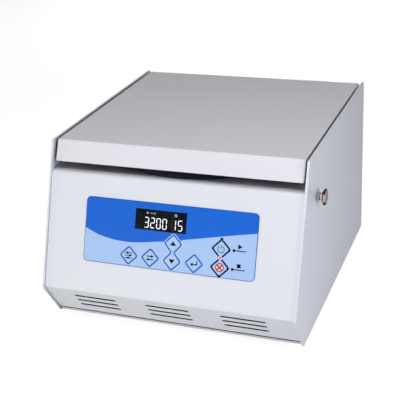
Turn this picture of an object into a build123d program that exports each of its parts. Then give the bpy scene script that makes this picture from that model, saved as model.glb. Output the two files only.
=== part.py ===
from build123d import *
import os
from math import atan2, cos, hypot, radians, sin, sqrt, tan

# Benchtop centrifuge for microplates: a folded sheet-steel casing with a sloping keypad front,
# a lid hinged at the back, and a round chamber in which two swinging carriers hold the plates.
#
# Millimetres. +X is the right-hand side seen from the front, +Y the back, +Z up.
# The origin is on the bench, under the middle of the casing.

# ---------------------------------------------------------------- driving sizes

# Casing
seal_to_side = 41.5
seal_to_back = 55.5
seal_to_brow = 12.594
lid_stand = 45.7
knee_height = 66.5
knee_overhang = 44.0
front_lean = 21.5
sheet = 1.5
hem_thickness = 3.8
hem_width = 9.5
hem_round = 1.2
panel_inset = 3.0
knee_round = 4.0
cheek_corner = 3.0
bend = 3.0
brow_bend = 6.0
flange = 14.0

# Base
base_sheet = 2.0
base_lip = 6.6
base_gap = 3.4
foot_height = 14.0
foot_radius = 17.0
foot_side_inset = 42.0
foot_front_inset = 52.0
foot_rear_inset = 46.0
foot_screw_radius = 2.5
foot_screw_head_radius = 6.0
foot_screw_head_height = 3.0
foot_screw_nip = 8.0
foot_nut_radius = 4.6
foot_pad = 6.0
foot_recess_play = 2.0
foot_chamfer = 1.5

# Deck and chamber
deck_height = 240.8
deck_sheet = 2.0
deck_ledge = 4.0
chamber_radius = 160.0
chamber_depth = 130.0
chamber_corner = 18.0
bowl_sheet = 1.2
bowl_rim = 6.0
gasket_foot = 2.5
gasket_foot_height = 3.5
gasket_lip_width = 6.0
gasket_lip_inset = 8.0
gasket_lip_sheet = 2.0
guard_wall = 4.0
guard_gap = 4.8

# Lid
lid_side_gap = 3.8
lid_top_drop = 0.5
lid_front_setback = 7.0
lid_rear_setback = 5.8
lid_skirt = 31.2
lid_skirt_run = 14.7
lid_rear_skirt = 16.0
lid_corner = 3.0
lid_side_round = 2.5
lid_return = 12.0
liner_height = 16.2
liner_side_gap = 17.4
liner_front_gap = 13.5
liner_rear_gap = 36.5
liner_sheet = 1.2
liner_taper = 15.0
liner_corner = 12.0
liner_press_radius = 138.0
liner_press_depth = 4.0
liner_press_taper = 30.0
seal_gap = 0.3
bumper_spacing = 288.0
bumper_radius = 4.5
bumper_height = 4.0
bumper_from_edge = 7.0

# Hinges
hinge_spacing = 240.0
hinge_setback = 24.5
hinge_rise = 23.2
hinge_pin_radius = 4.0
hinge_pin_length = 40.0
hinge_knuckle_radius = 7.0
hinge_ear = 3.0
hinge_base_length = 44.0
hinge_base_width = 24.0
hinge_leaf = 2.0
hinge_base_corner = 3.0
hinge_pin_chamfer = 0.8
hinge_width = 28.0
end_float = 0.3
running = 0.05

# Lid lock
lock_y_from_brow = 38.5
lock_below_deck = 25.5
lock_travel = 6.0
sleeve_radius = 6.25
sleeve_outside = 5.0
sleeve_inside = 11.0
lock_nut_radius = 9.5
lock_nut_height = 4.0
rod_radius = 4.0
rod_clearance_at_striker = 1.8
knob_radius = 12.5
knob_height = 6.5
knob_pocket = 4.5
knob_end_gap = 2.0
striker_width = 24.0
striker_sheet = 3.0
striker_bend = 4.0
striker_eye_play = 2.0
striker_foot = 25.0
striker_below_rod = 13.0
striker_from_cheek = 16.2
striker_slot_gap = 2.0
striker_slot_side_gap = 2.5
lock_chamfer = 0.6
rod_collar = 1.8
rod_point = 1.0
knob_neck_gap = 0.4
knob_neck_wall = 1.0
knob_rim_width = 0.7
lid_switch_width = 10.0
lid_switch_length = 28.0
lid_switch_height = 16.0
lid_switch_from_striker = 12.0
lid_switch_lever_width = 6.0
lid_switch_lever_reach = 5.5
lid_switch_lever_rise = 6.0
lid_switch_lever_sheet = 1.0

# Keypad
keypad_width = 282.0
keypad_height = 102.0
keypad_low = 52.0
keypad_corner = 7.0
keypad_lap = 3.0
overlay_sheet = 0.8
backplate_sheet = 2.0
key_half_diagonal = 11.4
key_corner = 2.5
key_clearance = 0.25
key_pocket = 1.6
key_stand = 1.3
key_travel = 0.6
key_floor_gap = 0.1
key_edge_round = 0.4
display_width = 84.3
display_height = 32.0
display_left = -56.7
display_low = 111.0
display_window_depth = 0.7
display_fit = 0.5
display_bezel = 4.0
indicator_radius = 1.7
indicator_stand = 0.3
board_width = 220.0
board_height = 84.0
board_sheet = 1.6
board_depth = 14.0
board_post_inset = 6.0
board_post_radius = 3.0
board_part_height = 10.0
board_transformer_place = (-70.0, 30.0)
board_transformer_size = (34.0, 26.0)
board_relay_places = [(20.0, 24.0), (52.0, 24.0)]
board_relay_size = (18.0, 14.0)
key_places = {
    "key_set": (-63.5, 68.7),
    "key_mode": (-27.7, 68.7),
    "key_up": (8.7, 94.5),
    "key_down": (8.2, 67.4),
    "key_enter": (44.3, 68.2),
    "key_start": (85.8, 95.4),
    "key_stop": (85.5, 67.3),
}
indicator_places = [(85.7, 110.0), (85.3, 81.8)]

# Vents
vent_length = 72.0
vent_width = 4.8
vent_low = 31.0
vent_spacing = 14.8
vent_rows = 3
vent_group_spacing = 123.3
vent_groups = 3
louvre_length = 60.0
louvre_height = 7.0
louvre_depth = 4.0
louvre_spacing = 13.0
louvre_rows = 6
louvre_column_spacing = 78.0
louvre_columns = 2
louvre_low = 120.0

# Drive
spindle_radius = 8.0
spindle_shoulder_radius = 11.0
spindle_end_gap = 0.5
spindle_cap_gap = 1.0
spindle_flare = 3.0
hub_bore_radius = 9.0
armature_radius = 30.0
armature_gap = 0.6
armature_end_gap = 2.0
motor_radius = 56.0
motor_wall = 5.0
boot_height = 12.8
motor_fins = 24
motor_fin_height = 4.0
motor_fin_width = 3.0
end_cap_height = 6.0
end_cap_chamfer = 1.5
bearing_radius = 17.0
bearing_height = 9.0
motor_plate_radius = 92.0
motor_plate_sheet = 5.0
motor_plate_chamfer = 1.0
damper_radius = 14.0
damper_height = 22.0
damper_waist = 0.75
damper_circle_radius = 75.0
boot_hole_radius = 28.0
boot_foot_width = 4.0
boot_spindle_gap = 9.0
boot_foot_height = 2.0
boot_wall = 1.5

# Rotor and carriers
plate_length = 127.76
plate_width = 85.48
pivot_rise = 64.0
pivot_radius = 84.0
carrier_sheet = 2.5
carrier_floor_drop = 32.0
carrier_end_gap = 0.6
carrier_rim_gap = 1.3
carrier_rim_sheet = 1.5
carrier_rim_height = 6.0
carrier_ear_radius = 11.0
carrier_shoulder_height = 9.0
carrier_corner = 2.0
carrier_ear_round = 5.0
carrier_hole_length = 0.7
carrier_hole_width = 0.9
trunnion_radius = 4.0
trunnion_boss_radius = 7.0
trunnion_boss_height = 2.0
trunnion_nip = 1.0
beam_gap = 2.5
beam_width = 10.0
beam_height = 30.0
beam_overhang = 14.0
hub_radius = 32.0
web_width = 24.0
yoke_fillet = 4.0
beam_pocket_share = 0.7
rotor_nut_radius = 14.0
rotor_nut_height = 12.0
rotor_stud_radius = 5.0
rotor_stud_drop = 1.0
nut_scallops = 12
nut_scallop_radius = 1.8
pad_height = 0.8
pad_inset = 4.0
pad_corner = 4.0

# Back of the casing
inlet_x = 130.0
inlet_rise = 46.0
inlet_flange_width = 50.0
inlet_flange_height = 28.0
inlet_flange_sheet = 3.0
inlet_recess_width = 24.6
inlet_recess_height = 16.6
inlet_recess_depth = 17.0
inlet_body_wall = 1.6
inlet_pin_setback = 5.2
inlet_screw_spacing = 40.0
inlet_screw_hole_radius = 1.6
inlet_flange_corner = 4.0
inlet_recess_chamfer = 4.5
inlet_back_wall = 3.0
inlet_pin_width = 2.0
inlet_pin_height = 4.0
inlet_pin_spread = 7.0
inlet_pin_stagger = 2.0
switch_x = 84.0
switch_flange_width = 17.0
switch_flange_height = 24.0
switch_depth = 20.0
switch_flange_sheet = 2.0
switch_wall = 1.2
switch_corner = 2.0
rocker_radius = 7.0
rocker_width = 10.0
rocker_pivot_depth = 3.0
rocker_tilt = 12.0
rocker_face_angle = 52.0
rocker_gap = 0.3
rocker_pin_radius = 1.5
rocker_pin_length = 1.5
case_screw_radius = 2.0
case_screw_head_radius = 3.8
case_screw_head_height = 2.0
case_screw_head_round = 1.2
case_screw_count = 5
case_screw_spacing = 90.0
inverter_length = 76.0
inverter_depth = 62.0
inverter_height = 96.0
drive_rail_height = 12.0
drive_rail_width = 8.0
drive_rail_inset = 1.0
heatsink_fins = 9
heatsink_fin_height = 18.0
heatsink_fin_sheet = 2.0
inverter_wall_gap = 2.0
inverter_back_gap = 6.0
inverter_corner = 3.0

# ---------------------------------------------------------------- levels and lines

# The casing goes round the chamber's seal, and its front leans over from the knee to the deck.
lean = radians(front_lean)
rim_radius = chamber_radius + bowl_rim
mouth_radius = chamber_radius + bowl_sheet + bend
gasket_radius = rim_radius + gasket_foot
face_run = panel_inset / cos(lean) + (deck_height - knee_height) * tan(lean)
casing_width = 2 * (gasket_radius + seal_to_side)
casing_depth = face_run + seal_to_brow + 2 * gasket_radius + seal_to_back
casing_height = deck_height + lid_stand
chamber_offset = casing_depth / 2 - seal_to_back - gasket_radius

bottom_z = foot_height
top_z = bottom_z + casing_height
deck_z = bottom_z + deck_height
floor_z = bottom_z + base_sheet
knee_z = bottom_z + knee_height
rear_y = casing_depth / 2
knee_y = -casing_depth / 2
base_front_y = knee_y + knee_overhang
brow_y = knee_y + (top_z - knee_z) * tan(lean)
inner_half = casing_width / 2 - hem_thickness
rear_face_y = rear_y - panel_inset
rear_inner_y = rear_face_y - sheet
chamfer_length = hypot(knee_overhang, knee_height)
chamfer_run = knee_overhang / chamfer_length
chamfer_rise = knee_height / chamfer_length
knee_turn = lean + atan2(knee_overhang, knee_height)
knee_shift = panel_inset * tan(knee_turn / 2)


def on_face(up, depth=0.0):
    """The side-view point a distance up the sloping front, and a depth behind its surface."""
    back = panel_inset + depth
    return knee_y + back * cos(lean) + up * sin(lean), knee_z - back * sin(lean) + up * cos(lean)


def on_chamfer(up, depth=0.0):
    """The side-view point a distance up the chamfer below the front, and a depth behind it."""
    back = panel_inset + depth
    return (
        base_front_y - up * chamfer_run + back * chamfer_rise,
        bottom_z + up * chamfer_rise + back * chamfer_run,
    )


def face_y_at(z):
    """Where the sloping front's surface stands at a height."""
    return knee_y + panel_inset / cos(lean) + (z - knee_z) * tan(lean)


face_plane = Plane(
    origin=(0, *on_face(0)), x_dir=(1, 0, 0), z_dir=(0, -cos(lean), sin(lean))
)
chamfer_plane = Plane(
    origin=(0, *on_chamfer(0)), x_dir=(1, 0, 0), z_dir=(0, -chamfer_rise, -chamfer_run)
)
face_normal = Axis(face_plane.origin, face_plane.z_dir)
chamber_section = Plane(origin=(0, chamber_offset, 0), x_dir=(1, 0, 0), z_dir=(0, -1, 0))
chamber_axis = Axis((0, chamber_offset, 0), (0, 0, 1))

# The chamber's levels
chamber_floor_z = deck_z - chamber_depth
deck_seam_y = chamber_offset - gasket_radius - deck_ledge
pivot_z = chamber_floor_z + pivot_rise

# The lid's levels
lid_half = casing_width / 2 - hem_thickness - lid_side_gap
lid_top_z = top_z - lid_top_drop
lid_low_z = lid_top_z - lid_skirt
lid_front_y = brow_y + lid_front_setback
lid_front_low_y = lid_front_y - lid_skirt_run
lid_rear_y = rear_y - lid_rear_setback
lid_under_z = lid_top_z - sheet
liner_z = deck_z + liner_height
liner_half = lid_half - liner_side_gap
liner_front_y = lid_front_low_y + liner_front_gap
liner_rear_y = lid_rear_y - liner_rear_gap
hinge_y = rear_y - hinge_setback
hinge_z = deck_z + hinge_rise
lock_y = brow_y + lock_y_from_brow
lock_z = deck_z - lock_below_deck

parts = {}


def keep(piece, name):
    """Label a finished piece and put it on the list of what is written."""
    piece.part.label = name
    parts[name] = piece.part


# ---------------------------------------------------------------- casing sheets


def make_cheek(side, with_lock_hole):
    """One side cheek: a flat sheet with a folded-over hem that thickens its whole edge."""
    outer_x = side * casing_width / 2
    outline = [
        (base_front_y, bottom_z),
        (knee_y, knee_z),
        (brow_y, top_z),
        (rear_y, top_z),
        (rear_y, bottom_z),
    ]
    rounds = [cheek_corner, knee_round, cheek_corner, cheek_corner, cheek_corner]
    with BuildPart() as cheek:
        with BuildSketch(Plane.YZ.offset(outer_x)):
            with BuildLine():
                FilletPolyline(*outline, radius=rounds, close=True)
            make_face()
        extrude(amount=-side * sheet)
        with BuildSketch(Plane.YZ.offset(outer_x)) as hem:
            with BuildLine():
                FilletPolyline(*outline, radius=rounds, close=True)
            make_face()
            offset(hem.face(), amount=-hem_width, mode=Mode.SUBTRACT)
        extrude(amount=-side * hem_thickness)
        rim = cheek.faces().filter_by(Axis.X).sort_by(Axis.X)[-1 if side > 0 else 0]
        fillet(rim.outer_wire().edges(), radius=hem_round)
        if with_lock_hole:
            with BuildSketch(Plane.YZ.offset(outer_x)):
                with Locations((lock_y, lock_z)):
                    Circle(sleeve_radius)
            extrude(amount=-side * 2 * sheet, mode=Mode.SUBTRACT)
    return cheek


keep(make_cheek(-1, False), "left_cheek")
keep(make_cheek(1, True), "right_cheek")

# The base is a pan: a lip turned up along the chamfer, and flanges at the sides and the back.
with BuildPart() as base_plate:
    with BuildSketch(Plane.YZ):
        with BuildLine():
            FilletPolyline(
                on_chamfer(base_lip),
                (base_front_y + panel_inset / chamfer_rise, bottom_z),
                (rear_inner_y, bottom_z),
                (rear_inner_y, bottom_z + flange),
                radius=[bend, bend],
            )
            offset(amount=base_sheet, side=Side.LEFT)
        make_face()
    extrude(amount=inner_half, both=True)
    side_flange_start = base_front_y + 2 * flange
    side_flange_end = rear_inner_y - flange
    with BuildSketch(Plane.XY.offset(bottom_z)):
        with Locations((0, (side_flange_start + side_flange_end) / 2)):
            with GridLocations(2 * inner_half - base_sheet, 0, 2, 1):
                Rectangle(base_sheet, side_flange_end - side_flange_start)
    extrude(amount=flange)
    foot_spots = [
        (side * (casing_width / 2 - foot_side_inset), y)
        for side in (-1, 1)
        for y in (base_front_y + foot_front_inset, rear_y - foot_rear_inset)
    ]
    with BuildSketch(Plane.XY.offset(bottom_z)):
        with Locations(*foot_spots):
            Circle(foot_screw_radius)
    extrude(amount=base_sheet, mode=Mode.SUBTRACT)
    case_screw_spots = [
        ((i - (case_screw_count - 1) / 2) * case_screw_spacing, z)
        for i in range(case_screw_count)
        for z in (bottom_z + flange / 2 + bend / 2, deck_z - flange / 2 - bend / 2)
    ]
    rear_plane = Plane(origin=(0, rear_face_y, 0), x_dir=(-1, 0, 0), z_dir=(0, 1, 0))
    with BuildSketch(rear_plane):
        with Locations(*[(-x, z) for x, z in case_screw_spots]):
            Circle(case_screw_radius)
    extrude(amount=-(sheet + base_sheet), mode=Mode.SUBTRACT)
keep(base_plate, "base_plate")

# The front is one sheet: up the chamfer, round the knee, up the sloping face and back to the deck.
with BuildPart() as front_panel:
    with BuildSketch(Plane.YZ):
        with BuildLine():
            FilletPolyline(
                on_chamfer(base_lip + base_gap),
                on_face(knee_shift),
                (face_y_at(deck_z), deck_z),
                (deck_seam_y, deck_z),
                radius=[knee_round, brow_bend],
            )
            offset(amount=sheet, side=Side.RIGHT)
        make_face()
    extrude(amount=inner_half, both=True)
    with BuildSketch(chamfer_plane):
        vent_mid = vent_low + (vent_rows - 1) / 2 * vent_spacing
        with Locations((0, vent_mid)):
            with GridLocations(vent_group_spacing, vent_spacing, vent_groups, vent_rows):
                SlotOverall(vent_length, vent_width)
    extrude(amount=2 * sheet, both=True, mode=Mode.SUBTRACT)
    keypad_mid = keypad_low + keypad_height / 2
    with BuildSketch(face_plane):
        with Locations((0, keypad_mid)):
            RectangleRounded(
                keypad_width - 2 * keypad_lap,
                keypad_height - 2 * keypad_lap,
                keypad_corner - keypad_lap / 2,
            )
    extrude(amount=2 * sheet, both=True, mode=Mode.SUBTRACT)
keep(front_panel, "front_panel")

# The deck is a shallow tray turned upside down, with the round chamber mouth in it.
striker_x = casing_width / 2 - hem_thickness - striker_from_cheek
striker_front_y = lock_y - striker_width / 2
striker_low_z = lock_z - striker_below_rod
striker_reach = hinge_y - striker_front_y
striker_drift = hypot(striker_reach, hinge_z - striker_low_z) - striker_reach
with BuildPart() as deck_plate:
    deck_depth = rear_inner_y - deck_seam_y
    with BuildSketch(Plane.XY.offset(deck_z)):
        with Locations((0, deck_seam_y + deck_depth / 2)):
            Rectangle(2 * inner_half, deck_depth)
    extrude(amount=-flange)
    with BuildSketch(Plane.XY.offset(deck_z - deck_sheet)):
        with Locations((0, deck_seam_y + deck_depth / 2)):
            Rectangle(2 * (inner_half - deck_sheet), deck_depth - 2 * deck_sheet)
    extrude(amount=-flange, mode=Mode.SUBTRACT)
    with BuildSketch(Plane.XY.offset(deck_z)):
        with Locations((0, chamber_offset)):
            Circle(mouth_radius)
        slot_length = striker_width + striker_drift + 2 * striker_slot_gap
        slot_width = striker_sheet + 2 * striker_slot_side_gap
        slot_y = striker_front_y - striker_drift - striker_slot_gap + slot_length / 2
        with Locations((striker_x - striker_sheet / 2, slot_y)):
            RectangleRounded(slot_width, slot_length, striker_slot_gap)
    extrude(amount=-deck_sheet, mode=Mode.SUBTRACT)
    with BuildSketch(rear_plane):
        with Locations(*[(-x, z) for x, z in case_screw_spots]):
            Circle(case_screw_radius)
    extrude(amount=-(sheet + deck_sheet), mode=Mode.SUBTRACT)
keep(deck_plate, "deck_plate")

# The back: a flat sheet with two columns of pressed louvres, and holes for the mains inlet and switch.
inlet_z = bottom_z + inlet_rise
inlet_body_width = inlet_recess_width + 2 * inlet_body_wall
inlet_body_height = inlet_recess_height + 2 * inlet_body_wall
switch_body_width = rocker_width + 2 * (rocker_gap + rocker_pin_length)
switch_body_height = 2 * (rocker_radius + rocker_gap + switch_wall)
with BuildPart() as rear_panel:
    with BuildSketch(rear_plane):
        with Locations((0, (bottom_z + deck_z) / 2)):
            Rectangle(2 * inner_half, deck_z - bottom_z)
    extrude(amount=-sheet)
    louvre_xs = [(i - (louvre_columns - 1) / 2) * louvre_column_spacing for i in range(louvre_columns)]
    louvre_zs = [louvre_low + i * louvre_spacing for i in range(louvre_rows)]
    for louvre_x in louvre_xs:
        with BuildSketch(Plane.YZ.offset(louvre_x)):
            for z in louvre_zs:
                with BuildLine():
                    Polyline(
                        (rear_face_y, z),
                        (rear_face_y + louvre_depth, z),
                        (rear_face_y, z + louvre_height),
                        close=True,
                    )
                make_face()
        extrude(amount=louvre_length / 2, both=True)
        with BuildSketch(Plane.YZ.offset(louvre_x)):
            for z in louvre_zs:
                with BuildLine():
                    Polyline(
                        (rear_inner_y, z - sheet),
                        (rear_face_y + louvre_depth - 2 * sheet, z - sheet),
                        (rear_face_y + louvre_depth - 2 * sheet, z),
                        (rear_inner_y, z + louvre_height - 2 * sheet),
                        close=True,
                    )
                make_face()
        extrude(amount=louvre_length / 2 - sheet, both=True, mode=Mode.SUBTRACT)
    with BuildSketch(rear_plane):
        with Locations((-inlet_x, inlet_z)):
            Rectangle(inlet_body_width, inlet_body_height)
        with Locations((-switch_x, inlet_z)):
            Rectangle(switch_body_width, switch_body_height)
        with Locations(*[(-x, z) for x, z in case_screw_spots]):
            Circle(case_screw_radius)
    extrude(amount=-sheet, mode=Mode.SUBTRACT)
keep(rear_panel, "rear_panel")

with BuildPart() as casing_screws:
    with BuildSketch(rear_plane):
        with Locations(*[(-x, z) for x, z in case_screw_spots]):
            Circle(case_screw_head_radius)
    extrude(amount=case_screw_head_height)
    head_faces = casing_screws.faces().sort_by(Axis.Y)[-2 * case_screw_count :]
    fillet(head_faces.edges(), radius=case_screw_head_round)
    with BuildSketch(rear_plane):
        with Locations(*[(-x, z) for x, z in case_screw_spots]):
            Circle(case_screw_radius)
    extrude(amount=-(sheet + base_sheet))
keep(casing_screws, "casing_screws")

# ---------------------------------------------------------------- chamber

# A deep-drawn steel bowl hangs by its rim from the deck's mouth.
with BuildPart() as chamber_bowl:
    with BuildSketch(chamber_section):
        with BuildLine():
            FilletPolyline(
                (boot_hole_radius, chamber_floor_z),
                (chamber_radius, chamber_floor_z),
                (chamber_radius, deck_z + bowl_sheet),
                (rim_radius, deck_z + bowl_sheet),
                radius=[chamber_corner, bend + bowl_sheet],
            )
            offset(amount=bowl_sheet, side=Side.RIGHT)
        make_face()
    revolve(axis=chamber_axis)
keep(chamber_bowl, "chamber_bowl")

# The rubber seal stands on the bowl's rim and leans inwards to its flat lip.
seal_top_z = liner_z - seal_gap
lip_outer = gasket_radius - gasket_lip_inset - bowl_rim + gasket_foot
lip_inner = lip_outer - gasket_lip_width
with BuildPart() as chamber_gasket:
    with BuildSketch(chamber_section):
        with BuildLine():
            Polyline(
                (rim_radius, deck_z),
                (gasket_radius, deck_z),
                (gasket_radius, deck_z + gasket_foot_height),
                (lip_outer, seal_top_z),
                (lip_inner, seal_top_z),
                (lip_inner, seal_top_z - gasket_lip_sheet),
                (chamber_radius, deck_z + gasket_foot_height),
                (chamber_radius + bend, deck_z + bowl_sheet),
                (rim_radius, deck_z + bowl_sheet),
                close=True,
            )
        make_face()
    revolve(axis=chamber_axis)
keep(chamber_gasket, "chamber_gasket")

# A heavy steel ring round the bowl holds back a broken rotor.
guard_inner = chamber_radius + bowl_sheet + guard_gap
guard_top_z = deck_z - deck_sheet
with BuildPart() as guard_ring:
    with BuildSketch(Plane.XY.offset(floor_z)):
        with Locations((0, chamber_offset)):
            Circle(guard_inner + guard_wall)
            Circle(guard_inner, mode=Mode.SUBTRACT)
    extrude(amount=guard_top_z - floor_z)
keep(guard_ring, "guard_ring")

# ---------------------------------------------------------------- drive

plate_low_z = floor_z + damper_height
motor_low_z = plate_low_z + motor_plate_sheet
cap_top_z = chamber_floor_z - bowl_sheet - boot_height
motor_top_z = cap_top_z - end_cap_height
motor_height = motor_top_z - motor_low_z

with BuildPart() as motor_dampers:
    with BuildSketch(Plane(origin=(damper_circle_radius, 0, 0), x_dir=(1, 0, 0), z_dir=(0, -1, 0))):
        with BuildLine():
            waist = Polyline(
                (damper_radius, floor_z),
                (0, floor_z),
                (0, plate_low_z),
                (damper_radius, plate_low_z),
            )
            damper_mid = (damper_waist * damper_radius, (floor_z + plate_low_z) / 2)
            ThreePointArc(waist @ 1, damper_mid, waist @ 0)
        make_face()
    damper = revolve(axis=Axis((damper_circle_radius, 0, 0), (0, 0, 1)), mode=Mode.PRIVATE)
    with Locations((0, chamber_offset, 0)):
        with PolarLocations(0, 4, start_angle=45):
            add(damper)
keep(motor_dampers, "motor_dampers")

with BuildPart() as motor_plate:
    with BuildSketch(Plane.XY.offset(plate_low_z)):
        with Locations((0, chamber_offset)):
            Circle(motor_plate_radius)
            Circle(bearing_radius, mode=Mode.SUBTRACT)
    extrude(amount=motor_plate_sheet)
    chamfer(motor_plate.faces().sort_by(Axis.Z)[-1].outer_wire().edges(), length=motor_plate_chamfer)
keep(motor_plate, "motor_plate")

# The motor's body is a finned cup: a floor with the lower bearing's seat, and a round cavity.
cavity_radius = motor_radius - motor_wall
with BuildPart() as motor_housing:
    with BuildSketch(Plane.XY.offset(motor_low_z)):
        with Locations((0, chamber_offset)):
            Circle(motor_radius)
            with PolarLocations(motor_radius, motor_fins):
                Rectangle(2 * motor_fin_height, motor_fin_width)
    extrude(amount=motor_height)
    with BuildSketch(Plane.XY.offset(motor_low_z + bearing_height)):
        with Locations((0, chamber_offset)):
            Circle(cavity_radius)
    extrude(amount=motor_height, mode=Mode.SUBTRACT)
    with BuildSketch(Plane.XY.offset(motor_low_z)):
        with Locations((0, chamber_offset)):
            Circle(bearing_radius)
    extrude(amount=bearing_height, mode=Mode.SUBTRACT)
keep(motor_housing, "motor_housing")

stator_low_z = motor_low_z + bearing_height
stator_high_z = motor_top_z - bearing_height + end_cap_height
with BuildPart() as motor_stator:
    with BuildSketch(Plane.XY.offset(stator_low_z)):
        with Locations((0, chamber_offset)):
            Circle(cavity_radius - 2 * running)
            Circle(armature_radius + armature_gap, mode=Mode.SUBTRACT)
    extrude(amount=stator_high_z - stator_low_z)
keep(motor_stator, "motor_stator")

with BuildPart() as motor_end_cap:
    with BuildSketch(Plane.XY.offset(motor_top_z)):
        with Locations((0, chamber_offset)):
            Circle(motor_radius + motor_fin_height)
    extrude(amount=end_cap_height)
    chamfer(motor_end_cap.faces().sort_by(Axis.Z)[-1].edges(), length=end_cap_chamfer)
    with BuildSketch(Plane.XY.offset(motor_top_z)):
        with Locations((0, chamber_offset)):
            Circle(bearing_radius)
    extrude(amount=end_cap_height, mode=Mode.SUBTRACT)
keep(motor_end_cap, "motor_end_cap")

with BuildPart() as spindle_bearings:
    for z in (motor_low_z, cap_top_z - bearing_height):
        with BuildSketch(Plane.XY.offset(z)):
            with Locations((0, chamber_offset)):
                Circle(bearing_radius)
                Circle(spindle_radius + running, mode=Mode.SUBTRACT)
        extrude(amount=bearing_height)
keep(spindle_bearings, "spindle_bearings")

# A rubber boot seals the bowl's floor to the motor's end cap and lets the motor sway.
boot_foot = boot_hole_radius + boot_foot_width
boot_waist = boot_hole_radius - boot_foot_width
boot_inner = spindle_shoulder_radius + boot_spindle_gap
with BuildPart() as shaft_boot:
    with BuildSketch(chamber_section):
        with BuildLine():
            bowl_under_z = chamber_floor_z - bowl_sheet
            Polyline(
                (boot_inner, cap_top_z),
                (boot_foot, cap_top_z),
                (boot_foot, cap_top_z + boot_foot_height),
                (boot_waist, cap_top_z + boot_foot_height + boot_wall),
                (boot_foot, bowl_under_z - boot_foot_height),
                (boot_foot, bowl_under_z),
                (boot_hole_radius, bowl_under_z),
                (boot_hole_radius, chamber_floor_z),
                (boot_foot, chamber_floor_z),
                (boot_foot - boot_wall, chamber_floor_z + boot_wall),
                (boot_waist, chamber_floor_z + boot_wall),
                (boot_inner, cap_top_z + boot_foot_height + boot_wall),
                close=True,
            )
        make_face()
    revolve(axis=chamber_axis)
keep(shaft_boot, "shaft_boot")

# The spindle carries the motor's armature, a shoulder for the rotor's hub and a stud for its nut.
hub_low_z = pivot_z - beam_height / 2
hub_high_z = pivot_z + beam_height / 2
with BuildPart() as drive_spindle:
    with BuildSketch(chamber_section):
        with BuildLine():
            armature_low_z = stator_low_z + armature_end_gap
            armature_high_z = stator_high_z - armature_end_gap
            stud_top_z = hub_high_z + rotor_nut_height - rotor_stud_drop
            Polyline(
                (0, motor_low_z + spindle_end_gap),
                (spindle_radius, motor_low_z + spindle_end_gap),
                (spindle_radius, armature_low_z),
                (armature_radius, armature_low_z),
                (armature_radius, armature_high_z),
                (spindle_radius, armature_high_z),
                (spindle_radius, cap_top_z + spindle_cap_gap),
                (spindle_shoulder_radius, cap_top_z + spindle_cap_gap + spindle_flare),
                (spindle_shoulder_radius, hub_low_z),
                (hub_bore_radius, hub_low_z),
                (hub_bore_radius, hub_high_z),
                (rotor_stud_radius, hub_high_z),
                (rotor_stud_radius, stud_top_z),
                (0, stud_top_z),
                close=True,
            )
        make_face()
    revolve(axis=chamber_axis)
keep(drive_spindle, "drive_spindle")

# ---------------------------------------------------------------- rotor and carriers

carrier_inner = plate_length / 2 + carrier_end_gap
carrier_half = carrier_inner + carrier_sheet
carrier_rim_inner = plate_width / 2 + carrier_rim_gap
carrier_reach = carrier_rim_inner + carrier_rim_sheet
beam_inner = carrier_half + beam_gap
carrier_low_z = pivot_z - carrier_floor_drop - carrier_sheet
carrier_floor_z = pivot_z - carrier_floor_drop

# The yoke is an H: two beams with open notches for the carriers' trunnions, and a web with the hub.
with BuildPart() as rotor_yoke:
    for side in (-1, 1):
        with BuildSketch(Plane.YZ.offset(side * beam_inner)):
            with Locations((chamber_offset, pivot_z)):
                SlotOverall(2 * (pivot_radius + beam_overhang), beam_height)
        extrude(amount=side * beam_width)
    with BuildSketch(Plane.XY.offset(hub_low_z)):
        with Locations((0, chamber_offset)):
            Rectangle(2 * (beam_inner + beam_width / 2), web_width)
            Circle(hub_radius)
    extrude(amount=beam_height)
    upright_edges = rotor_yoke.edges().filter_by(Axis.Z)
    inner_corners = upright_edges.filter_by(lambda e: hub_radius < abs(e.center().X) < carrier_reach * 2)
    fillet(inner_corners, radius=yoke_fillet)
    with BuildSketch(Plane.XY.offset(hub_low_z)):
        with Locations((0, chamber_offset)):
            Circle(hub_bore_radius)
    extrude(amount=beam_height, mode=Mode.SUBTRACT)
    with BuildSketch(Plane.YZ):
        for end in (-1, 1):
            with Locations((chamber_offset + end * pivot_radius, pivot_z)):
                Circle(trunnion_radius + running)
            with Locations((chamber_offset + end * pivot_radius, pivot_z + beam_height / 2)):
                Rectangle(2 * (trunnion_radius + running), beam_height)
    extrude(amount=beam_inner + beam_width, both=True, mode=Mode.SUBTRACT)
    for side in (-1, 1):
        with BuildSketch(Plane.YZ.offset(side * (beam_inner + beam_width))):
            with Locations((chamber_offset, pivot_z)):
                with Locations((-pivot_radius / 2, 0), (pivot_radius / 2, 0)):
                    SlotOverall(beam_pocket_share * pivot_radius, beam_height / 2)
        extrude(amount=-side * beam_width / 3, mode=Mode.SUBTRACT)
keep(rotor_yoke, "rotor_yoke")

with BuildPart() as rotor_nut:
    with BuildSketch(Plane.XY.offset(hub_high_z)):
        with Locations((0, chamber_offset)):
            Circle(rotor_nut_radius)
            with PolarLocations(rotor_nut_radius + nut_scallop_radius / 2, nut_scallops):
                Circle(nut_scallop_radius, mode=Mode.SUBTRACT)
            Circle(rotor_stud_radius, mode=Mode.SUBTRACT)
    extrude(amount=rotor_nut_height)
keep(rotor_nut, "rotor_nut")


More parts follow.
